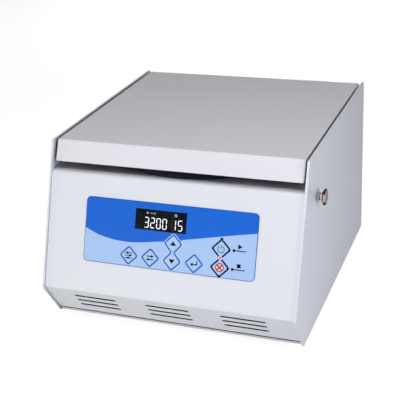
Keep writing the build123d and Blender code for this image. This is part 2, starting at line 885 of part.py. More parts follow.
def make_carrier(end):
    """A pressed tray for two stacked plates: floor, low rims, and ends that rise to the trunnions."""
    middle_y = chamber_offset + end * pivot_radius
    with BuildPart() as carrier:
        with BuildSketch(Plane.XY.offset(carrier_low_z)):
            with Locations((0, middle_y)):
                RectangleRounded(2 * carrier_half, 2 * carrier_reach, carrier_corner)
        extrude(amount=carrier_sheet + carrier_rim_height)
        with BuildSketch(Plane.XY.offset(carrier_floor_z)):
            with Locations((0, middle_y)):
                Rectangle(2 * carrier_inner, 2 * carrier_rim_inner)
        extrude(amount=carrier_rim_height, mode=Mode.SUBTRACT)
        rim_z = carrier_floor_z + carrier_rim_height
        for side in (-1, 1):
            with BuildSketch(Plane.YZ.offset(side * carrier_inner)):
                with BuildLine():
                    Polyline(
                        (middle_y - carrier_reach, carrier_low_z + carrier_corner),
                        (middle_y - carrier_reach, rim_z),
                        (middle_y - carrier_ear_radius, pivot_z),
                        (middle_y - carrier_ear_radius, pivot_z + carrier_shoulder_height),
                        (middle_y + carrier_ear_radius, pivot_z + carrier_shoulder_height),
                        (middle_y + carrier_ear_radius, pivot_z),
                        (middle_y + carrier_reach, rim_z),
                        (middle_y + carrier_reach, carrier_low_z + carrier_corner),
                        close=True,
                    )
                make_face()
                fillet(vertices().group_by(Axis.Y)[-1], radius=carrier_ear_round)
            extrude(amount=side * carrier_sheet)
        with BuildSketch(Plane.XY.offset(carrier_low_z)):
            with Locations((0, middle_y)):
                with GridLocations(carrier_inner, 0, 2, 1):
                    SlotOverall(carrier_hole_length * carrier_inner, carrier_hole_width * carrier_rim_inner)
        extrude(amount=carrier_sheet, mode=Mode.SUBTRACT)
        with BuildSketch(Plane.YZ):
            with Locations((middle_y, pivot_z)):
                Circle(trunnion_radius)
        extrude(amount=carrier_half, both=True, mode=Mode.SUBTRACT)
    return carrier


def make_trunnions(end):
    """Two shouldered pins, riveted through the carrier's ends and resting in the yoke's notches."""
    middle_y = chamber_offset + end * pivot_radius
    with BuildPart() as trunnions:
        for side in (-1, 1):
            with BuildSketch(Plane.YZ.offset(side * carrier_inner)):
                with Locations((middle_y, pivot_z)):
                    Circle(trunnion_radius)
            extrude(amount=side * (carrier_sheet + beam_gap + beam_width - trunnion_nip))
            with BuildSketch(Plane.YZ.offset(side * carrier_half)):
                with Locations((middle_y, pivot_z)):
                    Circle(trunnion_boss_radius)
            extrude(amount=side * trunnion_boss_height)
    return trunnions


def make_pad(end):
    """Two rubber strips on the carrier's floor, beside its openings."""
    middle_y = chamber_offset + end * pivot_radius
    with BuildPart() as pad:
        with BuildSketch(Plane.XY.offset(carrier_floor_z)):
            with Locations((0, middle_y)):
                RectangleRounded(
                    2 * (carrier_inner - pad_inset), 2 * (carrier_rim_inner - pad_inset), pad_corner
                )
                with GridLocations(carrier_inner, 0, 2, 1):
                    SlotOverall(
                        carrier_hole_length * carrier_inner,
                        carrier_hole_width * carrier_rim_inner,
                        mode=Mode.SUBTRACT,
                    )
        extrude(amount=pad_height)
    return pad


for end, end_name in ((-1, "front"), (1, "rear")):
    keep(make_carrier(end), "plate_carrier_" + end_name)
    keep(make_trunnions(end), "carrier_trunnions_" + end_name)
    keep(make_pad(end), "carrier_pad_" + end_name)

# ---------------------------------------------------------------- lid

# The lid is a folded pan: a leaning front skirt with a return, side skirts, and a short back skirt.
with BuildPart() as lid_shell:
    with BuildSketch(Plane.YZ):
        with BuildLine():
            FilletPolyline(
                (lid_front_low_y, lid_low_z),
                (lid_front_y, lid_top_z),
                (lid_rear_y, lid_top_z),
                (lid_rear_y, lid_low_z),
                radius=[lid_corner, lid_corner],
            )
            Line((lid_rear_y, lid_low_z), (lid_front_low_y, lid_low_z))
        make_face()
    extrude(amount=lid_half, both=True)
    side_faces = lid_shell.faces().filter_by(Axis.X)
    side_edges = side_faces.edges().filter_by(lambda e: e.center().Z > lid_low_z + sheet)
    fillet(side_edges, radius=lid_side_round)
    offset(amount=-sheet, openings=lid_shell.faces().sort_by(Axis.Z)[0])
    with BuildSketch(Plane.YZ):
        with BuildLine():
            Polyline(
                (lid_front_low_y, lid_low_z),
                (lid_front_low_y + lid_return, lid_low_z),
                (lid_front_low_y + lid_return, lid_low_z + sheet),
                (lid_front_low_y + sheet * lid_skirt_run / lid_skirt, lid_low_z + sheet),
                close=True,
            )
        make_face()
    extrude(amount=lid_half - lid_corner, both=True)
    with BuildSketch(Plane.YZ):
        with BuildLine():
            Polyline(
                (hinge_y - hinge_base_width, lid_low_z),
                (hinge_y - hinge_base_width / 2, lid_top_z - lid_rear_skirt),
                (lid_rear_y, lid_top_z - lid_rear_skirt),
                (lid_rear_y, lid_low_z),
                close=True,
            )
        make_face()
    extrude(amount=lid_half, both=True, mode=Mode.SUBTRACT)
keep(lid_shell, "lid_shell")

# The inner pan closes the lid's underside. Its flat rim meets the seal round a pressed recess.
with BuildPart() as lid_liner:
    liner_mid_y = (liner_front_y + liner_rear_y) / 2
    with BuildSketch(Plane.XY.offset(liner_z)):
        with Locations((0, liner_mid_y)):
            RectangleRounded(2 * liner_half, liner_rear_y - liner_front_y, liner_corner)
    extrude(amount=lid_under_z - liner_z, taper=liner_taper)
    fillet(lid_liner.faces().sort_by(Axis.Z)[0].edges(), radius=bend)
    offset(amount=-liner_sheet, openings=lid_liner.faces().sort_by(Axis.Z)[-1])
    with BuildSketch(Plane.XY.offset(liner_z)):
        with Locations((0, chamber_offset)):
            Circle(liner_press_radius)
    extrude(amount=liner_press_depth + liner_sheet, taper=liner_press_taper)
    with BuildSketch(Plane.XY.offset(liner_z)):
        with Locations((0, chamber_offset)):
            Circle(liner_press_radius - liner_sheet)
    extrude(amount=liner_press_depth, taper=liner_press_taper, mode=Mode.SUBTRACT)
keep(lid_liner, "lid_liner")

# A steel strap hangs from the lid into the deck's slot. The lock's rod goes through its eye.
with BuildPart() as lid_striker:
    with BuildSketch(Plane.XZ.offset(-striker_front_y)):
        with BuildLine():
            FilletPolyline(
                (striker_x - striker_foot, liner_z),
                (striker_x, liner_z),
                (striker_x, striker_low_z),
                radius=[striker_bend],
            )
            offset(amount=striker_sheet, side=Side.RIGHT)
        make_face()
    extrude(amount=-striker_width)
    strap_end = lid_striker.edges().filter_by(Axis.X).group_by(Axis.Z)[0]
    fillet(strap_end, radius=striker_width / 3)
    with BuildSketch(Plane.YZ.offset(striker_x)):
        with Locations((lock_y, lock_z)):
            Circle(rod_radius + striker_eye_play)
    extrude(amount=-striker_sheet, mode=Mode.SUBTRACT)
keep(lid_striker, "lid_striker")

with BuildPart() as lid_bumpers:
    with BuildSketch(Plane.XY.offset(lid_low_z)):
        with Locations((0, lid_front_low_y + bumper_from_edge)):
            with GridLocations(bumper_spacing, 0, 2, 1):
                Circle(bumper_radius)
    extrude(amount=-bumper_height)
    fillet(lid_bumpers.faces().sort_by(Axis.Z)[:2].edges(), radius=bumper_height / 3)
keep(lid_bumpers, "lid_bumpers")

# ---------------------------------------------------------------- hinges

hinge_xs = [-hinge_spacing / 2, hinge_spacing / 2]
with BuildPart() as hinge_brackets:
    for hinge_x in hinge_xs:
        with BuildSketch(Plane.XY.offset(deck_z)):
            with Locations((hinge_x, hinge_y)):
                RectangleRounded(hinge_base_length, hinge_base_width, hinge_base_corner)
        extrude(amount=hinge_leaf)
        for side in (-1, 1):
            with BuildSketch(Plane.YZ.offset(hinge_x + side * hinge_width / 2)):
                with Locations((hinge_y, hinge_z)):
                    Circle(hinge_knuckle_radius)
                with Locations((hinge_y, (deck_z + hinge_z) / 2)):
                    Rectangle(2 * hinge_knuckle_radius, hinge_z - deck_z)
                with Locations((hinge_y, hinge_z)):
                    Circle(hinge_pin_radius + running, mode=Mode.SUBTRACT)
            extrude(amount=side * hinge_ear)
keep(hinge_brackets, "hinge_brackets")

with BuildPart() as hinge_pins:
    with BuildSketch(Plane.YZ):
        with Locations((hinge_y, hinge_z)):
            Circle(hinge_pin_radius)
    pin = extrude(amount=hinge_pin_length / 2, both=True, mode=Mode.PRIVATE)
    with Locations(*[(x, 0, 0) for x in hinge_xs]):
        add(pin)
    chamfer(hinge_pins.edges().filter_by(GeomType.CIRCLE), length=hinge_pin_chamfer)
keep(hinge_pins, "hinge_pins")

with BuildPart() as lid_hinge_leaves:
    knuckle_half = hinge_width / 2 - end_float
    for hinge_x in hinge_xs:
        with BuildSketch(Plane.YZ.offset(hinge_x)):
            with Locations((hinge_y, hinge_z)):
                Circle(hinge_knuckle_radius)
            with Locations((hinge_y, (hinge_z + lid_under_z) / 2)):
                Rectangle(2 * hinge_ear, lid_under_z - hinge_z)
            with Locations((hinge_y, lid_under_z - hinge_leaf / 2)):
                Rectangle(hinge_base_width, hinge_leaf)
            with Locations((hinge_y, hinge_z)):
                Circle(hinge_pin_radius + running, mode=Mode.SUBTRACT)
        extrude(amount=knuckle_half, both=True)
keep(lid_hinge_leaves, "lid_hinge_leaves")

# ---------------------------------------------------------------- lid lock

lock_plane = Plane(origin=(0, lock_y, lock_z), x_dir=(1, 0, 0), z_dir=(0, -1, 0))
lock_axis = Axis((0, lock_y, lock_z), (1, 0, 0))
cheek_x = casing_width / 2
sleeve_out_x = cheek_x + sleeve_outside
sleeve_in_x = cheek_x - sleeve_inside
nut_x = cheek_x - sheet
knob_in_x = sleeve_out_x + lock_travel + knob_end_gap - knob_pocket
knob_out_x = knob_in_x + knob_height
rod_tip_x = striker_x + rod_clearance_at_striker

with BuildPart() as lock_sleeve:
    with BuildSketch(lock_plane):
        with BuildLine():
            Polyline(
                (sleeve_in_x, rod_radius + running),
                (sleeve_in_x, sleeve_radius - lock_chamfer),
                (sleeve_in_x + lock_chamfer, sleeve_radius),
                (nut_x - lock_nut_height, sleeve_radius),
                (nut_x - lock_nut_height, lock_nut_radius),
                (nut_x, lock_nut_radius),
                (nut_x, sleeve_radius),
                (sleeve_out_x - lock_chamfer, sleeve_radius),
                (sleeve_out_x, sleeve_radius - lock_chamfer),
                (sleeve_out_x, rod_radius + running),
                close=True,
            )
        make_face()
    revolve(axis=lock_axis)
keep(lock_sleeve, "lock_sleeve")

# The rod has a stop collar that meets the sleeve's inner end when the knob is drawn out.
with BuildPart() as lock_rod:
    with BuildSketch(lock_plane):
        with BuildLine():
            collar_x = sleeve_in_x - end_float
            Polyline(
                (rod_tip_x, 0),
                (rod_tip_x, rod_radius - rod_point),
                (rod_tip_x + rod_point, rod_radius),
                (collar_x - rod_collar, rod_radius),
                (collar_x - rod_collar, sleeve_radius),
                (collar_x, sleeve_radius),
                (collar_x, rod_radius),
                (knob_in_x + knob_pocket, rod_radius),
                (knob_in_x + knob_pocket, 0),
                close=True,
            )
        make_face()
    revolve(axis=lock_axis)
keep(lock_rod, "lock_rod")

# The knob is a mushroom head with a hollow neck that slides over the sleeve.
with BuildPart() as lock_knob:
    with BuildSketch(lock_plane):
        with BuildLine():
            neck_radius = sleeve_radius + knob_neck_gap
            pocket_x = knob_in_x + knob_pocket
            neck = Line((knob_in_x, neck_radius), (knob_in_x, neck_radius + knob_neck_wall))
            flare = ThreePointArc(
                neck @ 1,
                (knob_in_x + 0.33 * knob_height, neck_radius + 2 * knob_neck_wall),
                (knob_in_x + 0.46 * knob_height, knob_radius - knob_rim_width),
            )
            rim = ThreePointArc(
                flare @ 1,
                (knob_in_x + 0.7 * knob_height, knob_radius),
                (knob_in_x + 0.9 * knob_height, knob_radius - knob_rim_width),
            )
            rise = knob_out_x - (rim @ 1).X
            dome_radius = ((rim @ 1).Y ** 2 + rise**2) / (2 * rise)
            crown = RadiusArc(rim @ 1, (knob_out_x, 0), radius=dome_radius)
            Polyline(crown @ 1, (pocket_x, 0), (pocket_x, neck_radius), (knob_in_x, neck_radius))
        make_face()
    revolve(axis=lock_axis)
keep(lock_knob, "lock_knob")

# The lid's switch hangs under the deck. The striker's strap pushes its lever when the lid shuts.
with BuildPart() as lid_switch:
    switch_face_x = striker_x - lid_switch_from_striker
    with BuildSketch(Plane.XY.offset(guard_top_z)):
        with Locations((switch_face_x - lid_switch_width / 2, lock_y)):
            RectangleRounded(lid_switch_width, lid_switch_length, lid_switch_lever_sheet)
    extrude(amount=-lid_switch_height)
    with BuildSketch(Plane.XZ.offset(-lock_y)):
        with BuildLine():
            lever_z = guard_top_z - lid_switch_height + 2 * lid_switch_lever_sheet
            lever_tip_x = switch_face_x + lid_switch_lever_reach
            lever_top_z = lever_z + lid_switch_lever_rise
            Polyline(
                (switch_face_x, lever_z + lid_switch_lever_sheet),
                (switch_face_x, lever_z),
                (lever_tip_x, lever_top_z),
                (lever_tip_x, lever_top_z + lid_switch_lever_sheet),
                close=True,
            )
        make_face()
    extrude(amount=lid_switch_lever_width / 2, both=True)
keep(lid_switch, "lid_switch")

# ---------------------------------------------------------------- keypad

key_side = sqrt(2) * (key_half_diagonal + key_corner * (sqrt(2) - 1))
key_rest_depth = key_pocket - key_travel - key_floor_gap
opening_side = key_side + 2 * key_clearance
display_place = (display_left + display_width / 2, display_low + display_height / 2)
backplate_low = -sheet - backplate_sheet

with BuildPart() as keypad_overlay:
    with BuildSketch(face_plane):
        with Locations((0, keypad_mid)):
            RectangleRounded(keypad_width, keypad_height, keypad_corner)
        with Locations(display_place):
            Rectangle(display_width, display_height, mode=Mode.SUBTRACT)
        with Locations(*key_places.values()):
            RectangleRounded(
                opening_side, opening_side, key_corner, rotation=45, mode=Mode.SUBTRACT
            )
        with Locations(*indicator_places):
            Circle(indicator_radius, mode=Mode.SUBTRACT)
    extrude(amount=overlay_sheet)
keep(keypad_overlay, "keypad_overlay")

# The backplate fills the front's aperture and is wider behind it. Each key sinks in a pocket.
with BuildPart() as keypad_backplate:
    with BuildSketch(face_plane):
        with Locations((0, keypad_mid)):
            RectangleRounded(
                keypad_width - 2 * keypad_lap,
                keypad_height - 2 * keypad_lap,
                keypad_corner - keypad_lap / 2,
            )
    extrude(amount=-sheet)
    with BuildSketch(face_plane.offset(-sheet)):
        with Locations((0, keypad_mid)):
            RectangleRounded(keypad_width, keypad_height, keypad_corner)
    extrude(amount=-backplate_sheet)
    with BuildSketch(face_plane):
        with Locations(*key_places.values()):
            RectangleRounded(opening_side, opening_side, key_corner, rotation=45)
    extrude(amount=-key_pocket, mode=Mode.SUBTRACT)
    with BuildSketch(face_plane):
        with Locations(*indicator_places):
            Circle(indicator_radius)
        with Locations(display_place):
            Rectangle(display_width, display_height)
    extrude(amount=backplate_low, mode=Mode.SUBTRACT)
keep(keypad_backplate, "keypad_backplate")

for name, place in key_places.items():
    with BuildPart() as key:
        with BuildSketch(face_plane.offset(-key_rest_depth)):
            with Locations(place):
                RectangleRounded(key_side, key_side, key_corner, rotation=45)
        extrude(amount=key_rest_depth + key_stand)
        front_face = key.faces().sort_by(face_normal)[-1]
        fillet(front_face.edges(), radius=key_edge_round)
    keep(key, name)

with BuildPart() as indicator_lenses:
    with BuildSketch(face_plane.offset(backplate_low)):
        with Locations(*indicator_places):
            Circle(indicator_radius)
    extrude(amount=-backplate_low + overlay_sheet + indicator_stand)
keep(indicator_lenses, "indicator_lenses")

with BuildPart() as display_window:
    with BuildSketch(face_plane.offset(-display_window_depth)):
        with Locations(display_place):
            Rectangle(display_width, display_height)
    extrude(amount=display_window_depth + overlay_sheet)
keep(display_window, "display_window")

with BuildPart() as display_module:
    with BuildSketch(face_plane.offset(-display_window_depth)):
        with Locations(display_place):
            Rectangle(display_width - 2 * display_fit, display_height - 2 * display_fit)
    extrude(amount=backplate_low + display_window_depth)
    with BuildSketch(face_plane.offset(backplate_low)):
        with Locations(display_place):
            Rectangle(display_width + 2 * display_bezel, display_height + 2 * display_bezel)
    extrude(amount=-board_depth - backplate_low)
keep(display_module, "display_module")

# The control board stands behind the backplate on four posts, with its tall parts at the back.
with BuildPart() as control_board:
    with BuildSketch(face_plane.offset(-board_depth)):
        with Locations((0, keypad_mid)):
            RectangleRounded(board_width, board_height, board_post_radius)
    extrude(amount=-board_sheet)
    with BuildSketch(face_plane.offset(backplate_low)):
        with Locations((0, keypad_mid)):
            with GridLocations(
                board_width - 2 * board_post_inset, board_height - 2 * board_post_inset, 2, 2
            ):
                Circle(board_post_radius)
    extrude(amount=-board_depth - backplate_low)
    with BuildSketch(face_plane.offset(-board_depth - board_sheet)):
        with Locations((0, keypad_low)):
            with Locations(board_transformer_place):
                Rectangle(*board_transformer_size)
            with Locations(*board_relay_places):
                Rectangle(*board_relay_size)
    extrude(amount=-board_part_height)
keep(control_board, "control_board")

# ---------------------------------------------------------------- mains inlet and switch

inlet_out_y = rear_face_y + inlet_flange_sheet
inlet_floor_y = inlet_out_y - inlet_recess_depth
with BuildPart() as mains_inlet:
    with BuildSketch(rear_plane):
        with Locations((-inlet_x, inlet_z)):
            RectangleRounded(inlet_flange_width, inlet_flange_height, inlet_flange_corner)
            with GridLocations(inlet_screw_spacing, 0, 2, 1):
                Circle(inlet_screw_hole_radius, mode=Mode.SUBTRACT)
    extrude(amount=inlet_flange_sheet)
    with BuildSketch(rear_plane):
        with Locations((-inlet_x, inlet_z)):
            Rectangle(inlet_body_width, inlet_body_height)
    extrude(amount=inlet_flange_sheet - inlet_recess_depth - inlet_back_wall)
    with BuildSketch(rear_plane.offset(inlet_flange_sheet)) as recess:
        with Locations((-inlet_x, inlet_z)):
            Rectangle(inlet_recess_width, inlet_recess_height)
        chamfer(recess.vertices().group_by(Axis.Y)[-1], length=inlet_recess_chamfer)
    extrude(amount=-inlet_recess_depth, mode=Mode.SUBTRACT)
keep(mains_inlet, "mains_inlet")

with BuildPart() as inlet_pins:
    pin_plane = Plane(origin=(0, inlet_floor_y, 0), x_dir=(-1, 0, 0), z_dir=(0, 1, 0))
    with BuildSketch(pin_plane):
        with Locations((-inlet_x, inlet_z + inlet_pin_stagger)):
            Rectangle(inlet_pin_width, inlet_pin_height)
        with Locations((-inlet_x, inlet_z - inlet_pin_stagger)):
            with GridLocations(2 * inlet_pin_spread, 0, 2, 1):
                Rectangle(inlet_pin_width, inlet_pin_height)
    extrude(amount=inlet_recess_depth - inlet_pin_setback)
keep(inlet_pins, "inlet_pins")

switch_out_y = rear_face_y + switch_flange_sheet
rocker_y = switch_out_y - rocker_pivot_depth
with BuildPart() as switch_housing:
    with BuildSketch(rear_plane):
        with Locations((-switch_x, inlet_z)):
            RectangleRounded(switch_flange_width, switch_flange_height, switch_corner)
    extrude(amount=switch_flange_sheet)
    with BuildSketch(rear_plane):
        with Locations((-switch_x, inlet_z)):
            Rectangle(switch_body_width, switch_body_height)
    extrude(amount=-switch_depth)
    with BuildSketch(Plane.YZ.offset(switch_x)):
        with Locations((rocker_y, inlet_z)):
            Circle(rocker_radius + rocker_gap)
    extrude(amount=rocker_width / 2 + rocker_gap, both=True, mode=Mode.SUBTRACT)
    with BuildSketch(Plane.YZ.offset(switch_x)):
        with Locations((rocker_y, inlet_z)):
            Circle(rocker_pin_radius + running)
    extrude(amount=rocker_width / 2 + rocker_pin_length, both=True, mode=Mode.SUBTRACT)
keep(switch_housing, "switch_housing")


def rocker_point(reach, angle):
    """A point of the rocker's side view, from its pivot, turned by the tilt that it rests at."""
    turned = radians(angle + rocker_tilt)
    return rocker_y + reach * cos(turned), inlet_z + reach * sin(turned)


with BuildPart() as power_rocker:
    with BuildSketch(Plane.YZ.offset(switch_x)):
        with BuildLine():
            Polyline(
                rocker_point(rocker_radius, rocker_face_angle),
                rocker_point(rocker_pivot_depth, 0),
                rocker_point(rocker_radius, -rocker_face_angle),
            )
            ThreePointArc(
                rocker_point(rocker_radius, -rocker_face_angle),
                rocker_point(rocker_radius, 180),
                rocker_point(rocker_radius, rocker_face_angle),
            )
        make_face()
    extrude(amount=rocker_width / 2, both=True)
    with BuildSketch(Plane.YZ.offset(switch_x)):
        with Locations((rocker_y, inlet_z)):
            Circle(rocker_pin_radius)
    extrude(amount=rocker_width / 2 + rocker_pin_length, both=True)
keep(power_rocker, "power_rocker")

# The motor's drive unit stands in the back left corner, its cooling fins to the side.
with BuildPart() as motor_drive:
    drive_side_x = inner_half - base_sheet - inverter_wall_gap
    drive_x = -(drive_side_x - heatsink_fin_height - inverter_length / 2)
    drive_y = rear_inner_y - base_sheet - inverter_back_gap - inverter_depth / 2
    with BuildSketch(Plane.XY.offset(floor_z)):
        with Locations((drive_x, drive_y)):
            with GridLocations(inverter_length - drive_rail_width - 2 * drive_rail_inset, 0, 2, 1):
                Rectangle(drive_rail_width, inverter_depth - 2 * inverter_corner)
    extrude(amount=drive_rail_height)
    with BuildSketch(Plane.XY.offset(floor_z + drive_rail_height)):
        with Locations((drive_x, drive_y)):
            RectangleRounded(inverter_length, inverter_depth, inverter_corner)
        with Locations((drive_x - inverter_length / 2, drive_y)):
            with GridLocations(0, inverter_depth / (heatsink_fins + 1), 1, heatsink_fins):
                Rectangle(2 * heatsink_fin_height, heatsink_fin_sheet)
    extrude(amount=inverter_height)
keep(motor_drive, "motor_drive")

# ---------------------------------------------------------------- feet

foot_recess = foot_screw_head_radius + foot_recess_play
with BuildPart() as rubber_feet:
    with BuildSketch(Plane.XY):
        with Locations(*foot_spots):
            Circle(foot_radius)
    extrude(amount=foot_height)
    chamfer(rubber_feet.faces().sort_by(Axis.Z)[: len(foot_spots)].edges(), length=foot_chamfer)
    with BuildSketch(Plane.XY):
        with Locations(*foot_spots):
            Circle(foot_recess)
    extrude(amount=foot_height - foot_pad, mode=Mode.SUBTRACT)
    with BuildSketch(Plane.XY):
        with Locations(*foot_spots):
            Circle(foot_screw_radius)
    extrude(amount=foot_height, mode=Mode.SUBTRACT)
keep(rubber_feet, "rubber_feet")

with BuildPart() as foot_screws:
    head_z = foot_height - foot_pad - foot_screw_head_height
    with BuildSketch(Plane.XY.offset(head_z)):
        with Locations(*foot_spots):
            Circle(foot_screw_head_radius)
    extrude(amount=foot_screw_head_height)
    with BuildSketch(Plane.XY.offset(head_z)):
        with Locations(*foot_spots):
            Circle(foot_screw_radius)
    extrude(amount=floor_z + foot_screw_nip - head_z)
    with BuildSketch(Plane.XY.offset(floor_z)):
        with Locations(*foot_spots):
            RegularPolygon(foot_nut_radius, 6)
    extrude(amount=foot_screw_nip / 2)
keep(foot_screws, "foot_screws")

# ---------------------------------------------------------------- writing

os.makedirs("parts", exist_ok=True)
for name, piece in parts.items():
    export_step(piece, "parts/" + name + ".step")
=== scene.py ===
"""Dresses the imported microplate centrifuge: finishes, keypad print, fasteners, lights and camera.

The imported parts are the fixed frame. +X is the right-hand side seen from the front, +Y the back, +Z
up, and the origin is on the bench under the middle of the casing. Everything is in metres, except
flat shapes that are laid out on a face, which are in millimetres.
"""

from __future__ import annotations

import logging
import math
from dataclasses import dataclass, field
from enum import Enum
from functools import cache
from typing import Iterable, Sequence

import bmesh
import bpy
from mathutils import Matrix, Vector
from mathutils.geometry import tessellate_polygon

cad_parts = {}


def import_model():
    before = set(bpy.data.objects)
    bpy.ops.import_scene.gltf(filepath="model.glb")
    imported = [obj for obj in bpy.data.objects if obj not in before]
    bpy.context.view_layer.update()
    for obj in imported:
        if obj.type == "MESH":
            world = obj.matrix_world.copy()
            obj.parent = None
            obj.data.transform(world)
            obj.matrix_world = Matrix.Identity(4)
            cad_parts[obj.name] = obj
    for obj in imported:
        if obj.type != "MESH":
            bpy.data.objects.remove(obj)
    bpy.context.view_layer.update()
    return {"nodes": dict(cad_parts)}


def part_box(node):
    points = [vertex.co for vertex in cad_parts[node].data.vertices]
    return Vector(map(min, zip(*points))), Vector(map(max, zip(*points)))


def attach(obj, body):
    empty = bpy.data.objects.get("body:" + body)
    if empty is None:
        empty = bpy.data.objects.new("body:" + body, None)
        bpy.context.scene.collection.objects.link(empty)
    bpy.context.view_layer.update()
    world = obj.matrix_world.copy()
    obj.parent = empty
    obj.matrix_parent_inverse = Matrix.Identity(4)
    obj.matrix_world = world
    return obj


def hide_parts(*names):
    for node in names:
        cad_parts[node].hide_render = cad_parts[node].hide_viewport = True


LOG = logging.getLogger("centrifuge")

MM = 0.001
Point = tuple[float, float]
Triple = tuple[float, float, float]
Loop = list[Point]
Shapes = list[list[Loop]]
Socket = bpy.types.NodeSocket
Tree = bpy.types.NodeTree
Piece = bpy.types.Object

# ---------------------------------------------------------------- shared places

RIGHT = Vector((1.0, 0.0, 0.0))
BACK = Vector((0.0, 1.0, 0.0))
UP = Vector((0.0, 0.0, 1.0))


@dataclass(frozen=True)
class Face:
    """A flat face of the object, on which shapes are laid out in millimetres."""

    origin: Vector
    up: Vector
    out: Vector

    def point(self, x: float, up: float, lift: float) -> Vector:
        """Return the point so many millimetres to the right, up the face and out from it, in metres."""
        return self.origin + (RIGHT * x + self.up * up + self.out * lift) * MM


LEAN = math.radians(21.5)
FRONT = Face(
    Vector((0.0, -0.2356972, 0.0794005)),
    Vector((0.0, math.sin(LEAN), math.cos(LEAN))),
    Vector((0.0, -math.cos(LEAN), math.sin(LEAN))),
)
CHAMFER = Face(
    Vector((0.0, -0.1919865, 0.0156554)), Vector((0.0, -0.5518, 0.8340)), Vector((0.0, -0.8340, -0.5518)),
)
CHAMBER_Y = 0.0144884
FILM_TOP = 0.8
KEY_TOP = 1.3
INK_ROOT = 0.02
INK_TOP = 0.03


class Slot(Enum):
    """Names of material slots, which nothing in this script uses."""

    ZINC = "zinc_steel"
    POLISHED = "polished_steel"
    RUBBER = "rubber_black"
    ALUMINIUM = "cast_aluminium"
    FILM = "printed_film"
    KEYS = "key_film"
    GLASS = "display_glass"
    PLASTIC = "black_plastic"


class Body(Enum):
    """The moving bodies that the added pieces ride on, but for the keys."""

    CASING = "casing"
    LID = "lid"
    ROTOR = "rotor"
    PLUNGER = "lock_plunger"
    ROCKER = "rocker"


def deck_top() -> float:
    """Return the height of the deck's upper face, in metres."""
    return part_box("deck_plate")[1].z


# ---------------------------------------------------------------- node trees

NOISE_LOW = 0.3
NOISE_HIGH = 0.7
GREY = (0.8, 0.8, 0.8, 1.0)


def rgba(colour: Sequence[float]) -> tuple[float, ...]:
    """Return a colour with full alpha."""
    return (*colour, 1.0)


class Graph:
    """Adds nodes to a tree and wires them in the same call."""

    def __init__(self, tree: Tree) -> None:
        """Keep the tree that the nodes go into."""
        self.tree = tree

    def feed(self, node: bpy.types.Node, values: dict) -> None:
        """Set a node's inputs.

        Args:
            node: The node.
            values: What each input takes: a plain value, or another node's output socket.
        """
        for key, value in values.items():
            if isinstance(value, Socket):
                self.tree.links.new(value, node.inputs[key])
            else:
                node.inputs[key].default_value = value

    def add(self, kind: str, values: dict | None = None, **settings: object) -> bpy.types.Node:
        """Add one node.

        Args:
            kind: The node's type name.
            values: What its inputs take.
            **settings: The node's own options.

        Returns:
            The new node.
        """
        node = self.tree.nodes.new(kind)
        for key, value in settings.items():
            setattr(node, key, value)
        self.feed(node, values or {})
        return node

    def math(self, operation: str, first: object, second: object = 0.0, clamp: bool = False) -> Socket:
        """Return the result of one sum, kept between 0 and 1 where clamp is set."""
        node = self.add("ShaderNodeMath", {0: first, 1: second}, operation=operation, use_clamp=clamp)
        return node.outputs[0]

    def product(self, first: object, *others: object, clamp: bool = False) -> Socket:
        """Multiply values.

        Args:
            first: The first number or socket.
            *others: The others.
            clamp: Whether each result is kept between 0 and 1.

        Returns:
            The product.
        """
        for other in others:
            first = self.math("MULTIPLY", first, other, clamp)
        return first

    def sway(self, noise: Socket, amount: object) -> Socket:
        """Return a noise as a swing to both sides of 0, the amount wide in all."""
        return self.product(self.math("SUBTRACT", noise, 0.5), amount)

    def length(self, across: Socket, along: Socket) -> Socket:
        """Return the distance that two sides at a right angle span."""
        return self.math("SQRT", self.math("ADD", self.product(across, across), self.product(along, along)))

    def mix(self, share: object, first: object, second: object, blend: str = "MIX") -> Socket:
        """Mix two colours by a share: 0 gives the first and 1 the second."""
        values = {0: share, 6: first, 7: second}
        return self.add("ShaderNodeMix", values, data_type="RGBA", blend_type=blend).outputs[2]

    def shaded(self, colour: object, light: Socket) -> Socket:
        """Return a colour made lighter or darker, where light is above or below 1."""
        grey = self.add("ShaderNodeCombineColor", {i: light for i in range(3)})
        return self.mix(1.0, colour, grey.outputs[0], "MULTIPLY")

    def span(self, value: object, low: float, high: float, to_low: object, to_high: object) -> Socket:
        """Map the range from low to high onto that from to_low to to_high, and stop at its ends."""
        values = {"Value": value, "From Min": low, "From Max": high, "To Min": to_low, "To Max": to_high}
        return self.add("ShaderNodeMapRange", values).outputs["Result"]

    def place(self) -> Socket:
        """Return the place on the object, in metres."""
        return self.add("ShaderNodeTexCoord").outputs["Object"]

    def parts(self, vector: Socket) -> Sequence[Socket]:
        """Return a vector's X, Y and Z."""
        return self.add("ShaderNodeSeparateXYZ", {0: vector}).outputs

    def vector(self, operation: str, first: object, second: object) -> Sequence[Socket]:
        """Return the results of one sum of vectors: the vector, then the value."""
        return self.add("ShaderNodeVectorMath", {0: first, 1: second}, operation=operation).outputs

    def turned(self, direction: object) -> Socket:
        """Return how far the surface faces a direction, from -1 to 1."""
        true = self.add("ShaderNodeNewGeometry").outputs["True Normal"]
        return self.vector("DOT_PRODUCT", direction, true)["Value"]

    def noise(self, place: Socket, scale: object, detail: float, roughness: float = 0.5) -> Socket:
        """Return a noise, mostly from NOISE_LOW to NOISE_HIGH, with so many finer layers of some strength."""
        values = {"Vector": place, "Scale": scale, "Detail": detail, "Roughness": roughness}
        return self.add("ShaderNodeTexNoise", values).outputs["Fac"]

    def borders(self, place: Socket, scale: object) -> Socket:
        """Return the distance to the nearest border of scattered cells."""
        values = {"Vector": place, "Scale": scale}
        return self.add("ShaderNodeTexVoronoi", values, feature="DISTANCE_TO_EDGE").outputs["Distance"]


